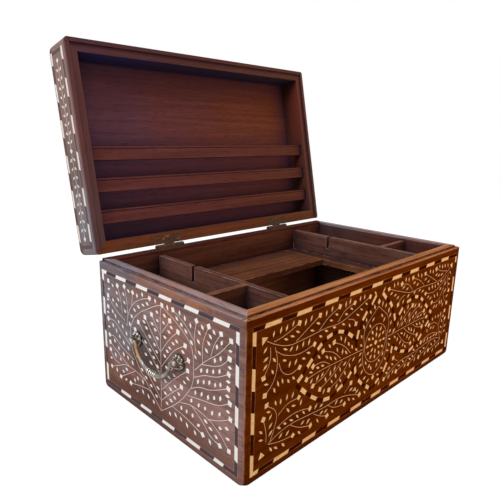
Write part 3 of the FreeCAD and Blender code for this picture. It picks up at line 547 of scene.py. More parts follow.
finishes = {
    "front": board("front_board_wood", ALONG_X, WARM, DRY_RED, RUBBED, figure=0.3, faded=0.05,
                   patch=shade(190, 118, 40), shine=0.0),
    # The back board's rim takes the darker rail colour as painted shade of the open lid above it.
    "back": board("back_board_wood", ALONG_X, WARM, BACK_RED, RAIL, figure=0.4, shift=4.6, faded=0.12,
                  shine=0.0),
    # The patch and shoulder colours of the ends are also lifted a little as painted sheen.
    "end": board("end_board_wood", ALONG_Y, HAZY, DRY_RED, HAZY_RIM, shift=0.31, faded=0.5,
                 patch=shade(154, 95, 70), shoulder=shade(160, 104, 76), zone_tints=(END_TINTS_WITH_SHEEN,), shine=0.1),
    "lid_top": board("lid_top_wood", ALONG_X, WARM, LID_RED, RAIL, lid=True, shift=0.55, figure=0.15,
                     faded=0.15, zone_tints=(LID_LIGHT_TINTS,), dirt=LID_SHADE, inner_reach=0.045),
    # Painted shade: the brow is a darker, navy copy of the lid's wood.
    "lid_brow_shade": board("lid_brow_wood", ALONG_X, WARM, LID_BROW_SHADE, RAIL, lid=True, shift=0.55, figure=0.15,
                      faded=0.15, zone_tints=(BROW_LIGHT_TINTS,), dirt=LID_SHADE, inner_reach=0.045),
    "hinge_rail": board("hinge_rail_wood", ALONG_X, WARM, LID_RED, HINGE_RAIL, lid=True, shift=0.7,
                        figure=0.3, zone_tints=(SLAT_LIGHT_TINTS,)),
    "lid_end": board("lid_end_wood", ALONG_Y, HAZY_LID, LID_RED, RAIL, lid=True, shift=0.83, figure=0.3,
                     zone_tints=(END_TINTS_WITH_SHEEN, LID_END_LIGHT_TINTS), shine=0.25),
    "slat": board("slat_wood", ALONG_X, SLAT_RED, SLAT_RED, RAIL, lid=True, shift=1.2, figure=0.25, faded=0.2,
                  zone_tints=(SLAT_LIGHT_TINTS,), dirt=LID_SHADE),
    "divider": board("divider_wood", ALONG_Y, GREY_DRY, GREY_DRY, HAZY_RIM, shift=1.7, wax=0.7),
    "partition": board("partition_wood", ALONG_X, GREY_DRY, GREY_DRY, RUBBED, shift=2.1, wax=0.7),
    "shelf": board("shelf_wood", ALONG_X, OLIVE_DRY, OLIVE_DRY, RUBBED, shift=2.6, wax=0.65),
    "well": board("well_wood", ALONG_X, WELL, WELL, RUBBED, shift=4.1, wax=0.7),
    "ledge": board("ledge_wood", ALONG_Y, OLIVE_DRY, OLIVE_DRY, RUBBED, shift=3.3, wax=0.65),
}
print(len(finishes), "wood finishes")

# %% [markdown]
# Bone and ebony. Bone is cream with faint streaks, and no two strips have quite the same tone, so cells a
# little larger than a chip vary it. Ebony is nearly black with brown streaks. Both are polished flush with
# the wood.

# %% Bone and ebony finishes
def inlay_finish(name, pale, deep, tint, polish, cell, end_sheen_tint, end_sheen_share, shine=0.1):
    """A polished inlay. Its pieces on the ends of the box are tinted towards the grey painted sheen of the
    ends.
    """
    material, tree, place = start_finish(name)
    streaks = noise(tree, stretched(tree, place, (140, 140, 520)), 1.0, 3.0, 0.4)
    colour = blend(tree, ramp(tree, streaks, 0.35, 0.7), deep, pale)
    cells = add(tree, "ShaderNodeTexVoronoi", {"Vector": place, "Scale": cell}).outputs["Color"]
    lot = add(tree, "ShaderNodeSeparateColor", {0: cells}).outputs[0]
    colour = blend(tree, ramp(tree, lot, 0.35, 1.0, 0.0, 0.55), colour, tint)
    grime = use(tree, cloudy_patches, vector=place, size=40.0, amount=0.25)["Mask"]
    colour = blend(tree, grime, colour, deep)
    # Painted sheen: the inlay on the ends of the box is tinted pale and grey.
    aside = maths(tree, "ABSOLUTE", axes_of(tree, place)[0])
    on_end = maths(tree, "GREATER_THAN", aside, HALF_LENGTH - FACE_PLAY)
    colour = blend(tree, times(tree, on_end, end_sheen_share), colour, end_sheen_tint)
    gloss = ramp(tree, streaks, 0.3, 0.8, polish, polish + 0.2)
    end_finish(tree, {"Base Color": colour, "Roughness": gloss, "Specular IOR Level": shine},
               streaks, 0.2, 0.0002)
    return material


BONE = (shade(252, 226, 174), shade(230, 196, 134), shade(240, 206, 144), 0.35, 62.0)
LINE_BONE = (shade(250, 220, 172), shade(222, 184, 136), shade(236, 198, 150), 0.45, 40.0)
EBONY = (shade(70, 34, 16), shade(50, 23, 9), shade(58, 28, 12), 0.4, 50.0)
finishes["bone"] = inlay_finish("polished_bone", *BONE, shade(238, 234, 231), 0.85)
finishes["lid_bone"] = inlay_finish("lid_bone", *BONE, shade(217, 209, 205), 0.85)
finishes["vine_bone"] = inlay_finish("vine_bone", *LINE_BONE, shade(246, 234, 228), 0.9)
finishes["ebony"] = inlay_finish("polished_ebony", *EBONY, shade(84, 74, 80), 0.85, shine=0.0)
finishes["lid_ebony"] = inlay_finish("lid_ebony", *EBONY, shade(104, 90, 88), 0.85, shine=0.0)
print("bone, thin bone line and ebony")

# %% [markdown]
# Metal. The hinges and handles are old brass: grey-brown tarnish, dirt in the hollows and brighter metal
# where hands have rubbed it. Hollows are found with ambient occlusion, and rubbed places by the same edge
# group. Two of the castings have a stain at one place.

# %% Metal finishes
tarnish, taken, given = start_group(
    "tarnish", {"Vector": None, "Bright": shade(190, 180, 150), "Dull": shade(90, 80, 60),
                "Dirt": shade(30, 26, 22), "Size": 160.0, "Spread": 0.5}, ("Colour", "Rough", "Height"))
tree = tarnish
spots = noise(tree, taken["Vector"], taken["Size"], 5.0, 0.5)
grains = noise(tree, taken["Vector"], times(tree, taken["Size"], 5.0), 2.0)
clean = ramp(tree, plus(tree, spots, maths(tree, "SUBTRACT", taken["Spread"], 0.5)), 0.38, 0.62)
metal = blend(tree, clean, taken["Dull"], taken["Bright"])
put(tree, given["Colour"], blend(tree, ramp(tree, openness(tree, 0.004), 0.35, 0.85), taken["Dirt"], metal))
put(tree, given["Rough"], ramp(tree, clean, 0.0, 1.0, 0.62, 0.34))
put(tree, given["Height"], plus(tree, spots, times(tree, grains, 0.5)))


def old_metal(name, bright, dull, dirt, size, spread, metallic, stain=None, stain_at=None, stain_size=0.01):
    material, tree, place = start_finish(name)
    coat = use(tree, tarnish, vector=place, bright=bright, dull=dull, dirt=dirt, size=size, spread=spread)
    edges = use(tree, rubbed_and_highlit_edges, vector=place, width=0.0006, amount=0.8)["Mask"]
    colour = blend(tree, edges, coat["Colour"], bright)
    if stain:
        distance = vectors(tree, "DISTANCE", place, stain_at)["Value"]
        colour = blend(tree, ramp(tree, distance, stain_size, 0.3 * stain_size, 0.0, 0.8), colour, stain)
    end_finish(tree, {"Base Color": colour, "Roughness": coat["Rough"], "Metallic": metallic},
               coat["Height"], 0.35, 0.0003)
    return material


BAIL_DIRT = shade(32, 20, 14)
finishes["hinge"] = old_metal("hinge_brass", shade(118, 78, 40), shade(62, 40, 26), shade(38, 22, 16),
                              260.0, 0.36, 0.5)
finishes["post"] = old_metal("post_brass", shade(186, 180, 168), shade(66, 60, 52), BAIL_DIRT,
                             300.0, 0.48, 0.7, stain=shade(160, 112, 82),
                             stain_at=(-0.2365, -0.037, 0.0995), stain_size=0.0065)
finishes["bail"] = old_metal("bail_brass", shade(152, 146, 134), shade(106, 100, 90), BAIL_DIRT,
                             240.0, 0.52, 0.7, stain=shade(176, 126, 76),
                             stain_at=(-0.238, 0.0385, 0.0905), stain_size=0.016)
finishes["ring"] = old_metal("ring_brass", shade(206, 200, 186), shade(164, 156, 140), BAIL_DIRT,
                             240.0, 0.7, 0.7)
# A near-black finish for the cylinder inside the grip rings: painted shade in the gaps between them.
finishes["sleeve"] = old_metal("sleeve_tarnish", shade(38, 33, 28), shade(20, 17, 14), BAIL_DIRT,
                               240.0, 0.5, 0.3)
print("five metal finishes")

# %% [markdown]
# The CAD nodes keep their shapes and only get finishes. Each board is matched to the finish whose grain runs
# along it: the grain of a side follows its length, the dividers run from front to back, the slats across.

# %% Finishes on the CAD nodes
NODE_FINISH = {
    "front": ("base_front_panel",),
    "back": ("base_back_panel",),
    "end": ("base_left_panel", "base_right_panel"),
    "lid_top": ("lid_top_panel",),
    "lid_brow_shade": ("lid_front_rail",),
    "hinge_rail": ("lid_back_rail",),
    "lid_end": ("lid_left_rail", "lid_right_rail"),
    "slat": ("letter_rack_slat_lower", "letter_rack_slat_middle", "letter_rack_slat_upper"),
    "divider": ("left_divider", "right_divider"),
    "partition": ("left_cross_partition", "right_cross_partition"),
    "shelf": ("raised_floor_back", "raised_floor_front", "floor_cleat_front", "floor_cleat_back"),
    "well": ("base_bottom_panel",),
    "ledge": ("raised_floor_left", "raised_floor_right", "floor_cleat_left", "floor_cleat_right"),
    "bone": ("base_bone_strips",),
    "lid_bone": ("lid_bone_strips",),
    "ebony": ("base_ebony_strips",),
    "lid_ebony": ("lid_ebony_strips",),
    "hinge": ("left_hinge_base_leaf", "right_hinge_base_leaf", "left_hinge_lid_leaf", "right_hinge_lid_leaf",
              "left_hinge_pin", "right_hinge_pin", "hinge_base_screws", "hinge_lid_screws"),
    "post": ("left_handle_posts", "right_handle_posts", "left_handle_nuts", "right_handle_nuts"),
    "bail": ("left_handle_bail", "right_handle_bail"),
}
for finish, names in NODE_FINISH.items():
    for name in names:
        nodes[name].data.materials.clear()
        nodes[name].data.materials.append(finishes[finish])
print(sum(len(names) for names in NODE_FINISH.values()), "of", len(nodes), "nodes have a finish")

# %% [markdown]
# The letter rack in the lid has three slats. On the real ones a scratch stock ran a bead along the upper
# edge, which leaves a dark line below it. Each slat is cut from a block of the CAD slat's size: two saw
# lines mark the groove, the strip between them is pushed in, and all edges are eased.

# %% Beaded slats of the letter rack
BEAD, GROOVE, GROOVE_DEPTH, EASED = 2.6 * MM, 0.9 * MM, 1.0 * MM, 0.5 * MM


def cut_slat(node):
    """A slat on the shut lid, with its upper edge towards the front of the box."""
    corners = [shut_lid @ point.co for point in nodes[node].data.vertices]
    low, high = [Vector([end(corner[axis] for corner in corners) for axis in range(3)]) for end in (min, max)]
    select()
    bpy.ops.mesh.primitive_cube_add(size=1, location=(low + high) / 2, scale=high - low)
    slat = settle(bpy.context.object)
    for line in (low.y + BEAD, low.y + BEAD + GROOVE):
        bpy.ops.object.mode_set(mode="EDIT")
        bpy.ops.mesh.select_all(action="SELECT")
        bpy.ops.mesh.bisect(plane_co=(0, line, 0), plane_no=(0, 1, 0))
        close_edit()
    middle = low.y + BEAD + GROOVE / 2
    pick_faces(slat, lambda center, normal: normal.z < -FACING and abs(center.y - middle) < GROOVE / 2)
    bpy.ops.mesh.extrude_region_move(TRANSFORM_OT_translate={"value": (0, 0, GROOVE_DEPTH)})
    close_edit()
    modify(slat, "BEVEL", width=EASED, segments=2)
    slat.data.transform(open_lid)
    return slat


for place in ("lower", "middle", "upper"):
    node = "letter_rack_slat_" + place
    slat = dress(cut_slat(node), "beaded_slat_" + place, "lid", finishes["slat"])
    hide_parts(node)

# %% [markdown]
# The inlay. A cutter saws small chips of bone, cuts a bed for each in the wood, glues them in and scrapes
# the face level. Thin vines are laid in scratched lines. Each face gets a flat frame of its own, in
# millimetres from its lower left corner as seen from outside, so that the pattern can be drawn as on paper.

# %% Frames of the inlaid faces
LENGTH, DEPTH, LID_TOP = 2 * HALF_LENGTH / MM, 2 * HALF_DEPTH / MM, 0.228


def face_frame(corner, right, up):
    """Turns a flat drawing, in millimetres, into a place on a face of the box."""
    right, up = Vector(right), Vector(up)
    frame = Matrix((right, up, right.cross(up))).transposed().to_4x4()
    frame.translation = corner
    return frame @ Matrix.Diagonal((MM, MM, MM, 1))


left_end = face_frame((-HALF_LENGTH, HALF_DEPTH, 0), (0, -1, 0), (0, 0, 1))
front = face_frame((-HALF_LENGTH, -HALF_DEPTH, 0), (1, 0, 0), (0, 0, 1))
right_end = face_frame((HALF_LENGTH, -HALF_DEPTH, 0), (0, 1, 0), (0, 0, 1))
back = face_frame((HALF_LENGTH, HALF_DEPTH, 0), (-1, 0, 0), (0, 0, 1))
lid_roof = face_frame((-HALF_LENGTH, -HALF_DEPTH, LID_TOP), (1, 0, 0), (0, 1, 0))
print("face", round(LENGTH), "by", round(DEPTH), "mm")

# %% [markdown]
# Chips. Each kind is cut once: a flat prism whose top is stepped in a little, as scraped bone wears at its
# edges, and whose underside is left open, because it lies in the wood. Leaves are lozenges, blooms are
# squares, and the medallions are edged with short bars.

# %% One chip of each kind
PROUD, SUNK, CHAMFER, CHAMFER_RISE = 0.08, 0.3, 0.22, 0.05
QUARTER = math.radians(45)
# Gives a square chip that is turned by a quarter sides of one millimetre.
UNIT_SIDE = 1.414


def cut_chip(name, corners, length, width, turn=0.0):
    """A chip in millimetres, lying flat with its length along x."""
    select()
    bpy.ops.mesh.primitive_cylinder_add(vertices=corners, radius=0.5, depth=PROUD + SUNK - CHAMFER_RISE,
                                        location=(0, 0, (PROUD - SUNK) / 2 - CHAMFER_RISE / 2),
                                        rotation=(0, 0, turn))
    chip = settle(bpy.context.object)
    chip.scale = (length, width, 1)
    settle(chip)
    pick_faces(chip, lambda center, normal: normal.z < -FACING)
    bpy.ops.mesh.delete(type="FACE")
    close_edit()
    pick_faces(chip, lambda center, normal: normal.z > FACING)
    bpy.ops.mesh.inset(thickness=CHAMFER, depth=CHAMFER_RISE)
    close_edit()
    chip.name = name
    return chip


leaf_chip = cut_chip("leaf_chip", 4, 7.0, 3.7)
bloom_chip = cut_chip("bloom_chip", 4, 7.6, 7.6)
corner_chip = cut_chip("corner_chip", 3, 11.0, 10.0)
bar_chip = cut_chip("bar_chip", 4, UNIT_SIDE, UNIT_SIDE, QUARTER)
templates = (leaf_chip, bloom_chip, corner_chip, bar_chip)
print("chips with", [len(chip.data.polygons) for chip in templates], "faces")

# %% [markdown]
# Laying. Every chip is a copy of its kind with its own mesh, put in place by one matrix. A seeded dice
# varies its size and lean a little, as hand-cut chips do. Vines are curves with a thin round section, made
# into a mesh and pressed nearly flat.

# %% Helpers that lay chips and vines
# The least and the most share of its size that a chip has, and how many degrees it leans astray.
LEAST, MOST, LEAN = 0.88, 1.1, 6
VINE_WIDTH, VINE_PRESS = 0.62, 0.3
dice = random.Random(38)


def placed(piece, matrix):
    """A copy of a piece with a mesh of its own, moved by a matrix."""
    made = piece.copy()
    made.data = piece.data.copy()
    made.data.transform(matrix)
    bpy.context.scene.collection.objects.link(made)
    return made


def lay(chip, face, u, v, lean, long=1.0, wide=1.0):
    """Copies a chip to a place on a face, with a little of the cutter's unevenness."""
    uneven = Matrix.Diagonal((long * dice.uniform(LEAST, MOST), wide * dice.uniform(LEAST, MOST), 1, 1))
    turn = Matrix.Rotation(math.radians(lean + dice.uniform(-LEAN, LEAN)), 4, "Z")
    return placed(chip, face @ Matrix.Translation((u, v, 0)) @ turn @ uneven)


def gather(pieces, name, body, finish):
    """Joins the chips of one face into one named piece."""
    select(*pieces)
    bpy.ops.object.join()
    dress(pieces[0], name, body, finishes[finish])


def draw_rods(lines, thick, sides, steps, caps=False):
    """Round rods through lists of points. A third number of a point is its own share of the thickness."""
    select()
    bpy.ops.curve.primitive_bezier_curve_add()
    curve = bpy.context.object.data
    curve.splines.clear()
    curve.bevel_depth, curve.bevel_resolution, curve.resolution_u = thick, sides, steps
    curve.use_fill_caps = caps
    for line in lines:
        spline = curve.splines.new("BEZIER")
        spline.bezier_points.add(len(line) - 1)
        for knot, (u, v, *share) in zip(spline.bezier_points, line):
            knot.co = (u, v, 0)
            knot.handle_left_type = knot.handle_right_type = "AUTO"
            if share:
                knot.radius = share[0]
    bpy.ops.object.convert(target="MESH")
    return bpy.context.object


def lay_vines(name, face, lines, body):
    """Thin bone lines through lists of points on a face."""
    vine = draw_rods(lines, VINE_WIDTH / 2, sides=0, steps=4)
    vine.data.transform(face @ Matrix.Diagonal((1, 1, VINE_PRESS, 1)))
    dress(vine, name, body, finishes["vine_bone"])


def lean_of(start, end):
    return math.degrees(math.atan2(end[1] - start[1], end[0] - start[0]))


def mirrored(lines, axis):
    return [[(2 * axis - u, v) for u, v in line] for line in lines]


# %% [markdown]
# The ends. A stem rises in the middle and two side stems bow out round the handle to meet it at the top.
# Branches leave them on both sides, and each ends in a bloom. The points were read from the photo of the
# left end. The right end doesn't show and repeats it.

# %% Pattern of the two ends
END_STEMS = [
    [(136, 24), (137, 38), (138, 80), (138.5, 120), (140, 150), (142.5, 156)],
    [(136, 23), (150, 33), (171, 50), (187, 68), (196, 82), (198, 103), (195, 124), (183, 135.5),
     (165, 145.5), (148, 152.5), (142.5, 156)],
    [(136, 23), (124, 33.5), (102.6, 51.4), (84, 70), (76.7, 82), (74.4, 105), (80, 118.5), (92, 131),
     (110, 141.5), (130, 151.5), (142.5, 156)],
]
END_BRANCHES = [
    [(158, 39.5), (180, 37), (213, 30)], [(174, 51), (195, 56), (222, 52.5), (240, 45), (254.5, 32)],
    [(195, 55.5), (213, 45), (226, 34.5), (240.5, 31)], [(222, 52.5), (238, 58.5), (256, 68.5)],
    [(186, 65), (210, 70), (238, 76), (255, 85.5)], [(193, 76), (208, 83.5), (225, 87.5), (252.5, 100.5)],
    [(198, 91), (217, 100.5), (235, 106), (253, 116)], [(200, 100), (217, 116), (240, 134), (256, 151.5)],
    [(212, 111), (240, 120), (254, 132.5)], [(226, 125), (232, 140), (241.5, 154)],
    [(213, 112), (214, 135), (223, 156)], [(203, 120), (200, 135), (203.5, 156)],
    [(199, 133), (186, 145), (163, 156.5)], [(137, 37), (155, 53), (176.5, 70.5)],
    [(139, 52), (158, 70), (188, 94.5)], [(139, 66), (165, 90), (189.5, 107)],
    [(139, 81), (150, 94), (165, 110), (184, 122)], [(139, 100), (157, 121), (171.5, 133.5)],
    [(140, 122), (157, 142)], [(138, 119), (130, 128), (121.5, 139)],
    [(137, 99), (124, 113.5), (107.5, 131.5)], [(137, 84), (113, 104), (92.5, 121)],
    [(137, 69), (112, 92), (85, 109)], [(136, 38), (122, 51), (88, 76)],
    [(124, 33), (115, 39), (100, 38.5), (70, 32)], [(104, 49), (85, 53), (58, 52.5), (42, 45.5), (23.5, 38)],
    [(82, 53), (63, 41.5), (46, 31.5)], [(68, 54), (42, 63), (22, 72)], [(44, 48.5), (30, 51.5), (22, 61.5)],
    [(80, 67), (50, 75.5), (33, 83), (21.5, 82)], [(72, 84), (50, 97), (35, 105), (20, 104)],
    [(62, 113.5), (40, 122), (22, 136)], [(56, 122), (53, 140), (46.5, 155)],
    [(69, 120), (68, 140), (63, 158)], [(79, 137), (82, 155)],
    [(66, 108), (71, 126), (80, 138.5), (95, 149), (118, 157.5)],
]
END_BLOOMS = [(24.5, 156), (21, 121), (142.5, 156)]
BLOOM_LEAN = 40
# Leaves by the way they lean, in degrees from level.
END_LEAVES = {
    100: [(193.5, 148), (184, 153), (175, 156.5), (153, 156), (103, 158), (91.5, 153.5), (129.5, 157.5),
        (36.5, 37.5)],
    75: [(176, 45), (185.5, 45), (196, 45), (194, 62), (206.5, 62), (217, 63), (228.5, 63), (240, 67),
        (201, 74.5), (211.5, 77), (222, 78), (231.5, 81.5), (241, 85), (205.5, 89), (215, 92.5), (224, 95.5),
        (233, 96.5), (241, 100), (211, 104), (220.5, 107), (230, 110), (239.5, 114), (232.5, 123),
        (241, 128), (235.5, 138.5), (242.5, 145)],
    30: [(85, 27), (59, 32.5), (206, 38)],
    5: [(241, 51.5), (251, 56), (252.5, 45), (252.5, 75.5), (251.5, 92), (252.5, 108), (254.5, 123.5),
        (255, 141), (23, 49.5), (21, 93), (20, 113), (21.5, 130.5), (25, 145.5)],
    -18: [(218, 48.5), (226, 43.5), (235, 38.5), (78, 124), (85, 134), (94, 140.5), (104, 145.5),
        (113, 149.5), (61, 47.5), (53, 41.5), (145, 136), (147, 145), (147, 119.5), (155, 128.5),
        (159.5, 135), (146, 96.5), (151, 104), (156, 109.5), (162.5, 117), (169, 122), (180, 113.5),
        (149, 83.5), (153.5, 73), (163, 79.5), (146, 65.5), (145.5, 50), (156, 59.5), (165, 66.5),
        (182, 78.5), (188, 85.5), (148.5, 38.5), (156.5, 45.5), (163.5, 52), (171.5, 60), (132.5, 145),
        (133, 135), (122, 128), (128, 122.5), (132, 113.5), (105, 125), (110, 119), (116.5, 110.5),
        (126, 103.5), (130, 96), (107, 100.5), (116, 93.5), (123.5, 86.5), (131, 78), (107, 84.5),
        (117.5, 77.5), (124, 58.5), (131, 50.5), (106, 54), (116.5, 47.5), (127.5, 38.5), (97.5, 61),
        (92, 71.5), (87, 82)],
    -42: [(219.5, 129), (223, 138), (225.5, 146), (231, 152.5), (208, 122.5), (206.5, 134.5), (208, 144.5),
        (213, 152), (201.5, 115.5), (195, 129.5), (185.5, 139), (178, 144), (170, 148.5), (63, 126),
        (62, 137), (60.5, 147.5), (47.5, 137), (44.5, 145), (35, 152.5), (34.5, 133), (43, 129),
        (72.5, 154.5)],
    -60: [(154, 27.5), (165, 31), (175, 30.5), (186, 28), (200, 26), (225, 27.5), (98, 31.5), (110, 30.5),
        (121, 28), (80, 40), (87, 45), (98.5, 45), (64, 97), (55.5, 104), (46, 107), (38.5, 113), (32, 117),
        (73, 112.5), (31.5, 98), (39.5, 93), (47, 87.5), (56.5, 82.5), (67, 78.5), (34, 77.5), (43.5, 70.5),
        (55, 66), (65.5, 65), (76, 62), (34.5, 58), (47, 56.5)],
}
# Where the handle sits: the height of its two posts, how far aside they stand, and its middle on each end.
POST_UP, ASIDE, POST_ROOM = 99.6, 41.5, 10.5
HANDLE_MIDDLE = {"left": DEPTH / 2 - 5.5, "right": DEPTH / 2 + 5.5}


def clear_of_posts(u, v, middle):
    return all(math.hypot(u - middle - aside, v - POST_UP) > POST_ROOM for aside in (-ASIDE, ASIDE))


def lay_end(side, face):
    name = side + "_end"
    lay_vines(name + "_vines", face, END_STEMS + END_BRANCHES, "base")
    chips = [lay(bloom_chip, face, *line[-1], lean_of(*line[-2:])) for line in END_BRANCHES]
    chips += [lay(bloom_chip, face, u, v, BLOOM_LEAN) for u, v in END_BLOOMS]
    for lean, places in END_LEAVES.items():
        clear = [place for place in places if clear_of_posts(*place, HANDLE_MIDDLE[side])]
        chips += [lay(leaf_chip, face, u, v, lean) for u, v in clear]
    print(name, len(chips), "chips")
    gather(chips, name + "_chips", "base", "bone")


lay_end("left", left_end)
lay_end("right", right_end)

# %% [markdown]
# The front. Two almonds flank a tall onion shape, each edged with bars of bone and ebony by turns. Sprigs
# fill the corners. The left half was read from the photo, and the right half is its mirror image.

# %% Pattern of the front
MIDDLE = LENGTH / 2
READ_MIDDLE = 225
FRONT_VINES = [
    [(27, 150), (40, 142.5), (60, 135.5), (80, 135.2), (120, 137), (144, 136), (172, 143), (203.5, 153.5)],
    [(33, 35), (47, 40), (67, 42.5), (97, 40.5), (127, 38), (152, 38.5), (170, 35), (196.5, 25.5)],
    [(37, 146), (53, 148.5), (74, 155.5)], [(70, 136.5), (85, 144), (107.5, 155)],
    [(108, 138), (120, 147), (142.5, 156)], [(141, 138), (152, 148), (171.5, 153.5)],
    [(32.5, 142), (32.5, 128), (24, 112)], [(39, 140), (43, 122), (38, 103), (26.5, 92.5)],
    [(41, 135), (53, 127), (76, 121), (100.5, 124)], [(45, 121), (51, 109), (63, 102.5), (77.5, 105)],
    [(161, 136), (173, 131.5), (177, 126)], [(34, 34.5), (50, 30), (71.5, 27)],
    [(67, 41.5), (80, 33), (101, 25.5)], [(106, 37.5), (118, 30), (131, 24.5)],
    [(131, 38), (144, 30), (165, 25.5)], [(30, 39), (30, 48), (25.5, 66.5)],
    [(36, 37), (42, 50), (44, 66), (29.5, 80.5)], [(47, 62), (60, 69), (78.5, 69.5)],
    [(45, 48), (62, 52.5), (82, 52.5), (98.5, 48)], [(163, 41), (168, 43.5), (176, 49.5)],
    [(196, 87), (150, 88), (110, 88), (90, 86)], [(130, 90.5), (117, 97.5), (100, 98)],
    [(150, 91), (137, 102), (116.5, 110.5)], [(170, 91), (157, 103.5), (136, 115)],
    [(131, 86), (120, 79), (101.5, 74)], [(154, 86), (138, 75), (114.5, 65)],
    [(171, 84), (150, 65), (131.5, 57.5)],
]
ONION_LINE = [
    (225, 136), (213, 127), (201, 117), (196.5, 105), (199, 90), (197, 76), (202, 60), (213, 48), (225, 43),
]
AXIS_BLOOMS = [(225, 142), (225, 87.5), (225, 39)]
# Each edge runs through the middles of its bars, which are bone and ebony by turns. Its two ends have no bar.
ALMOND_TOP = [
    (72, 88), (79, 91.5), (86.5, 97.8), (94, 104), (102, 111), (110, 118), (118.5, 122), (127, 125.5),
    (137, 126.5), (148, 124.5), (158, 121), (167.5, 114.5), (176, 107), (185, 100),
]
ALMOND_FOOT = [
    (185, 76), (178, 68), (171.5, 62), (163, 56), (153, 52), (140, 47.5), (128, 47.5), (114, 52),
    (104.5, 58.5), (94, 67), (86, 74), (77, 82), (72, 88),
]
ONION_TOP = [(225, 160), (213, 147), (204, 139), (195, 131), (189, 121), (183, 110.5), (181, 100), (183, 92)]
ONION_FOOT = [(184, 75), (183, 64), (188, 55), (196, 43), (205, 35), (213.5, 29.5), (221, 25), (225, 22)]
FRONT_EDGES = [(ALMOND_TOP, "bone"), (ALMOND_FOOT, "ebony"), (ONION_TOP, "bone"), (ONION_FOOT, "bone")]
FRONT_CORNERS = [(24, 152, 43), (24.5, 26, 10)]
FRONT_LEAVES = {
    80: [(46.5, 155.5), (118.5, 154.5), (154, 156), (162, 157.5), (182.5, 156), (191, 156), (72, 129),
        (50, 76.5), (153.5, 98), (132.5, 78), (59.5, 77.5)],
    72: [(36.5, 154.5), (55, 155.5), (64.5, 157.5), (84, 153.5), (93, 155.5), (128.5, 157), (81.5, 130),
        (91, 129.5), (61.5, 114), (157.5, 111), (68.5, 76.5), (82.5, 62)],
    58: [(71, 113.5), (98.5, 81), (109, 81), (140, 81.5), (122, 59.5), (146, 57), (35.5, 65), (198, 56)],
    45: [(63, 130.5), (25.5, 141), (26, 123), (117.5, 82), (177.5, 80.5), (191.5, 74), (52, 36), (62.5, 34),
        (96.5, 33), (148, 35), (36, 55), (36.5, 46.5), (109, 46), (215, 121), (213.5, 58.5)],
    25: [(26.5, 131), (159.5, 80.5), (191.5, 82), (194, 66.5), (87, 35.5), (120, 33.5), (128, 32), (158, 32),
        (177, 40.5), (184.5, 37.5), (190.5, 32.5), (119, 43), (205, 45), (213.5, 38.5)],
    -25: [(54.5, 143.5), (64, 144), (72, 146.5), (95.5, 141), (105, 146.5), (128, 143.5), (137.5, 148),
        (156, 143.5), (166, 147.5), (186.5, 141.5), (196.5, 146), (54, 133), (110.5, 130), (120, 133.5),
        (134.5, 133.5), (151.5, 132.5), (179.5, 136.5), (28, 104), (53.5, 121), (83.5, 113), (91, 117),
        (97, 92), (108.5, 93.5), (117, 93), (32.5, 72), (70.5, 63), (49, 46.5), (58, 47.5), (68, 47),
        (22.5, 44.5)],
    -42: [(68.5, 96), (109.5, 106), (124, 101), (182, 91.5), (192, 93.5), (184, 24.5), (45, 25),
        (22.5, 53.5)],
    -52: [(38.5, 126.5), (131.5, 97), (140, 94), (128, 113), (161, 94.5), (37.5, 27), (56.5, 23), (82, 25.5),
        (113.5, 26), (141, 26), (174, 28), (208.5, 24), (77.5, 47.5), (88, 47.5), (62, 61.5), (215, 155.5)],
    -62: [(36.5, 114.5), (40, 93), (60.5, 95.5), (164, 127.5), (165, 104), (191.5, 105), (195, 116.5),
        (207.5, 132.5), (136, 66.5), (153, 61.5), (161.5, 68), (209, 114), (205.5, 65.5), (218.5, 54),
        (186, 37)],
    -72: [(45, 98.5), (51.5, 99), (143, 103.5), (149, 116), (172.5, 98), (124, 73.5), (143, 71), (151, 76.5),
        (170, 75), (199.5, 124.5), (216, 137), (42.5, 78)],
}
ROSETTE = (MIDDLE, 87)
ROSETTE_RINGS = [(8, 11), (12, 19)]
ROSETTE_LINE = 25
BAR_WIDTH = 4.6
SLENDER = (1.1, 0.78)


def widened(points):
    """Points read on a half of 225 mm, drawn out to the half length of the box."""
    return [(u * MIDDLE / READ_MIDDLE, v) for u, v in points]


def lay_bars(face, points, first):
    """Bars through a list of middles, bone and ebony by turns, each along its stretch of the edge."""
    bars = {"bone": [], "ebony": []}
    kinds = ("bone", "ebony") if first == "bone" else ("ebony", "bone")
    for spot in range(1, len(points) - 1):
        before, middle, after = points[spot - 1:spot + 2]
        bar = lay(bar_chip, face, *middle, lean_of(before, after), math.dist(before, after) / 2, BAR_WIDTH)
        bars[kinds[(spot - 1) % 2]].append(bar)
    return bars


def circle(middle, radius, points=16):
    turns = [2 * math.pi * step / points for step in range(points + 1)]
    return [(middle[0] + radius * math.cos(turn), middle[1] + radius * math.sin(turn)) for turn in turns]


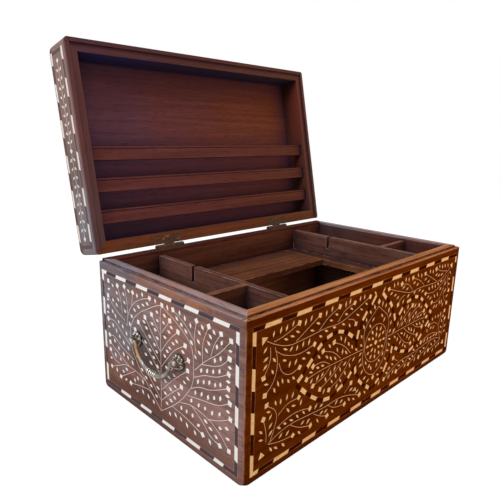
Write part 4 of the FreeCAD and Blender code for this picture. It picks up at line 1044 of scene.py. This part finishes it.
def lay_long_face(name, face, body):
    """The almonds, the onion and their sprigs, drawn on the left half and mirrored to the right."""
    half = [widened(line) for line in FRONT_VINES]
    sprigs = half + mirrored(half, MIDDLE)
    onion = [widened(ONION_LINE)]
    lines = sprigs + onion + mirrored(onion, MIDDLE) + [circle(ROSETTE, ROSETTE_LINE)]
    lay_vines(name + "_vines", face, lines, body)
    bone = [lay(bloom_chip, face, *line[-1], lean_of(*line[-2:])) for line in sprigs]
    bone += [lay(bloom_chip, face, u, v, 0) for u, v in widened(AXIS_BLOOMS)]
    for count, radius in ROSETTE_RINGS:
        for u, v in circle(ROSETTE, radius, count)[:-1]:
            bone.append(lay(leaf_chip, face, u, v, lean_of(ROSETTE, (u, v))))
    for lean, places in FRONT_LEAVES.items():
        for u, v in widened(places):
            bone.append(lay(leaf_chip, face, u, v, lean, *SLENDER))
            bone.append(lay(leaf_chip, face, LENGTH - u, v, -lean, *SLENDER))
    for u, v, lean in FRONT_CORNERS:
        bone += [lay(corner_chip, face, u, v, lean), lay(corner_chip, face, LENGTH - u, v, -lean)]
    ebony = []
    for points, first in FRONT_EDGES:
        for edge in [widened(points)] + mirrored([widened(points)], MIDDLE):
            bars = lay_bars(face, edge, first)
            bone += bars["bone"]
            ebony += bars["ebony"]
    print(name, len(bone), "bone chips and", len(ebony), "ebony bars")
    gather(bone, name + "_chips", body, "bone")
    gather(ebony, name + "_bars", body, "ebony")


lay_long_face("front", front, "base")
lay_long_face("back", back, "base")

# %% [markdown]
# The lid. Its narrow sides carry one straight stem each, with leaves in pairs and a bloom at both ends and
# in the middle, as the left end shows in the photo. Its top doesn't show: it repeats the front's medallions
# between two wavy vines. The faces are drawn on the shut lid and swung open with it.

# %% Pattern of the lid
BAND_HEIGHT, BAND_END, LEAF_PAIR = 205.5, 22, 11.4
PAIR_LEAN, PAIR_RISE = 52, 4.6
WAVE_LENGTH, WAVE_RISE, ROOF_BAND, ROOF_MARGIN = 62, 9, 42, 24
BEND_DROP, BEND_LEAN, LEAF_ASIDE, LEAF_RISE, LEAF_TURN = 0.5, 50, 3, 7.5, 5
# The height of the middle of the front's pattern.
FRONT_MIDDLE = 90


def lay_band(name, face, length):
    """A straight stem with paired leaves along a narrow side of the lid."""
    middle = length / 2
    lay_vines(name + "_vines", face, [[(BAND_END, BAND_HEIGHT), (length - BAND_END, BAND_HEIGHT)]], "lid")
    chips = [lay(bloom_chip, face, u, BAND_HEIGHT, 0) for u in (BAND_END, middle, length - BAND_END)]
    pairs = int((middle - BAND_END - LEAF_PAIR) / LEAF_PAIR + 0.5)
    for pair in range(1, pairs + 1):
        for way in (-1, 1):
            u = middle + way * pair * (middle - BAND_END) / (pairs + 1)
            for side in (-1, 1):
                chips.append(lay(leaf_chip, face, u, BAND_HEIGHT + side * PAIR_RISE, way * side * PAIR_LEAN))
    gather(chips, name + "_chips", "lid", "lid_bone")


def lay_wave(name, face, height):
    """A wavy vine along the lid top, with a leaf in each bend and two beside the vine."""
    quarters = round((LENGTH - 2 * ROOF_MARGIN) / WAVE_LENGTH * 4)
    step = (LENGTH - 2 * ROOF_MARGIN) / quarters
    rise = [WAVE_RISE * math.sin(quarter * math.pi / 2) for quarter in range(quarters + 1)]
    points = [(ROOF_MARGIN + quarter * step, height + rise[quarter]) for quarter in range(quarters + 1)]
    lay_vines(name + "_vines", face, [points], "lid")
    chips = [lay(bloom_chip, face, *points[0], 0), lay(bloom_chip, face, *points[-1], 0)]
    for before, (u, v), after in zip(points, points[1:], points[2:]):
        lean = lean_of(before, after)
        chips.append(lay(leaf_chip, face, u, height - (v - height) * BEND_DROP, lean + BEND_LEAN))
        for side in (-LEAF_RISE, LEAF_RISE):
            chips.append(lay(leaf_chip, face, u + LEAF_ASIDE, v + side, lean + side * LEAF_TURN))
    gather(chips, name + "_chips", "lid", "lid_bone")


lay_band("lid_left", open_lid @ left_end, DEPTH)
lay_band("lid_right", open_lid @ right_end, DEPTH)
lay_band("lid_front", open_lid @ front, LENGTH)
lay_band("lid_back", open_lid @ back, LENGTH)
roof = open_lid @ lid_roof
lay_long_face("lid_roof", roof @ Matrix.Translation((0, DEPTH / 2 - FRONT_MIDDLE, 0)), "lid")
lay_wave("lid_roof_low", roof, ROOF_BAND)
lay_wave("lid_roof_high", roof, DEPTH - ROOF_BAND)
for chip in templates:
    bpy.data.objects.remove(chip)
print("lid inlaid")

# %% [markdown]
# The handles are cast brass. Each hangs on two bosses, and each boss stands on a rosette of petals. The CAD
# model has plain discs and a bent rod there, so these castings take their place. They are modelled flat, in
# millimetres, in the same frame as the inlay of the end, with the third axis pointing out of the box.

# %% Rosettes and bosses
PLATE_SIZE, PLATE_RISE, PLATE_EDGE = 8.4, 2.2, 0.5
PETALS, PETAL_RING, PETAL_SIZE = 8, 6.9, 2.5
PETAL_FACING, PETAL_WALL, PETAL_HOLLOW = 0.75, 0.3, 1.0
BOSS_SIZE, BOSS_OUT, BORE = 4.59, 8.0, 1.95
NECK_FOOT, NECK_TOP, NECK_LENGTH, NECK_OUT = 4.8, 3.3, 4.0, 3.8
FOOT_RING, FOOT_ROUND, FOOT_OUT = 4.3, 0.8, 2.7
SMOOTH = math.radians(40)


def cast_rosette():
    """A round plate with a ring of hollowed petals on it."""
    select()
    bpy.ops.mesh.primitive_cylinder_add(vertices=48, radius=PLATE_SIZE, depth=PLATE_RISE,
                                        location=(0, 0, PLATE_RISE / 2))
    pieces = [bpy.context.object]
    modify(pieces[0], "BEVEL", width=PLATE_EDGE)
    for step in range(PETALS):
        turn = 2 * math.pi * (step + 0.5) / PETALS
        bpy.ops.mesh.primitive_uv_sphere_add(
            segments=16, ring_count=10, radius=PETAL_SIZE,
            location=(PETAL_RING * math.cos(turn), PETAL_RING * math.sin(turn), PLATE_RISE))
        petal = bpy.context.object
        pick_faces(petal, lambda center, normal: normal.z > PETAL_FACING)
        bpy.ops.mesh.inset(thickness=PETAL_WALL, depth=-PETAL_HOLLOW)
        close_edit()
        pieces.append(petal)
    return pieces


def cast_boss():
    """A round boss with a bore for the bail, on a flared neck with a bead round its foot."""
    select()
    bpy.ops.mesh.primitive_cylinder_add(vertices=32, radius=BORE, depth=4 * BOSS_SIZE,
                                        location=(0, 0, BOSS_OUT), rotation=(0, math.pi / 2, 0))
    drill = bpy.context.object
    bpy.ops.mesh.primitive_uv_sphere_add(segments=32, ring_count=16, radius=BOSS_SIZE,
                                         location=(0, 0, BOSS_OUT))
    boss = bpy.context.object
    modify(boss, "BOOLEAN", object=drill)
    bpy.data.objects.remove(drill)
    bpy.ops.mesh.primitive_cone_add(vertices=24, radius1=NECK_FOOT, radius2=NECK_TOP, depth=NECK_LENGTH,
                                    location=(0, 0, NECK_OUT))
    neck = bpy.context.object
    bpy.ops.mesh.primitive_torus_add(major_segments=32, minor_segments=8, major_radius=FOOT_RING,
                                     minor_radius=FOOT_ROUND, location=(0, 0, FOOT_OUT))
    return [boss, neck, bpy.context.object]


def joined(pieces):
    """Joins parts into one smooth piece with its place in its mesh."""
    select(*pieces)
    bpy.ops.object.transform_apply()
    bpy.ops.object.join()
    bpy.ops.object.shade_smooth_by_angle(angle=SMOOTH)
    return pieces[0]


post = joined(cast_rosette() + cast_boss())
print("post", len(post.data.polygons), "faces")

# %% [markdown]
# The bail is a drop of brass that thickens towards the middle, where five rings make a grip. It is a curve
# whose points each have a radius of their own. Its two ends keep the size of the CAD rod, because they turn
# in the bores of the bosses.

# %% Bails with their grip rings
# Half of the bail: how far aside, how far up from the bore, and how thick.
BAIL_HALF = [
    (45.8, 0, 1.88), (41.5, 0, 1.88), (37.2, 0, 1.88), (34.6, -2.2, 1.9), (33.2, -7, 1.95), (30, -13.5, 2.1),
    (22, -21, 2.45), (10.5, -26, 2.7), (0, -27, 2.6),
]
RINGS, RING_PITCH, RING_ROUND, RING_SIZE, SAG = 5, 3.6, 2.85, 0.8, 0.0091
GRIP_UP = BAIL_HALF[-1][1]


def grip_rings():
    rings = []
    for ring in range(RINGS):
        aside = (ring - (RINGS - 1) / 2) * RING_PITCH
        bpy.ops.mesh.primitive_torus_add(major_segments=24, minor_segments=8, major_radius=RING_ROUND,
                                         minor_radius=RING_SIZE, rotation=(0, math.pi / 2, 2 * SAG * aside),
                                         location=(aside, GRIP_UP + SAG * aside ** 2, 0))
        rings.append(bpy.context.object)
    return rings


other_half = [(-aside, up, thick) for aside, up, thick in reversed(BAIL_HALF[:-1])]
bail = joined([draw_rods([BAIL_HALF + other_half], 1, sides=4, steps=5, caps=True)])
rings = joined(grip_rings())
# A dark cylinder inside the grip rings fills the gaps between them with painted shade.
select()
bpy.ops.mesh.primitive_cylinder_add(vertices=24, radius=RING_ROUND, depth=(RINGS - 1) * RING_PITCH,
                                    rotation=(0, math.pi / 2, 0), location=(0, GRIP_UP, 0))
sleeve = joined([bpy.context.object])
print("bail", len(bail.data.polygons), "faces")

# %% [markdown]
# Both ends of the box get the same castings. Each copy has its own mesh, which is carried to its place by
# the frame of that end.

# %% Handles on both ends
for side, face in (("left", left_end), ("right", right_end)):
    middle = face @ Matrix.Translation((HANDLE_MIDDLE[side], POST_UP, 0))
    pair = [placed(post, middle @ Matrix.Translation((way * ASIDE, 0, 0))) for way in (-1, 1)]
    posts = dress(joined(pair), side + "_cast_posts", "base", finishes["post"])
    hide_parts(side + "_handle_posts")
    hung = middle @ Matrix.Translation((0, 0, BOSS_OUT))
    drop = dress(placed(bail, hung), side + "_cast_bail", side + "_bail", finishes["bail"])
    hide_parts(side + "_handle_bail")
    dress(placed(rings, hung), side + "_grip_rings", side + "_bail", finishes["ring"])
    # The dark cylinder in the grip is painted shade between the rings.
    dress(placed(sleeve, hung), side + "_grip_sleeve", side + "_bail", finishes["sleeve"])
for piece in (post, bail, rings, sleeve):
    bpy.data.objects.remove(piece)
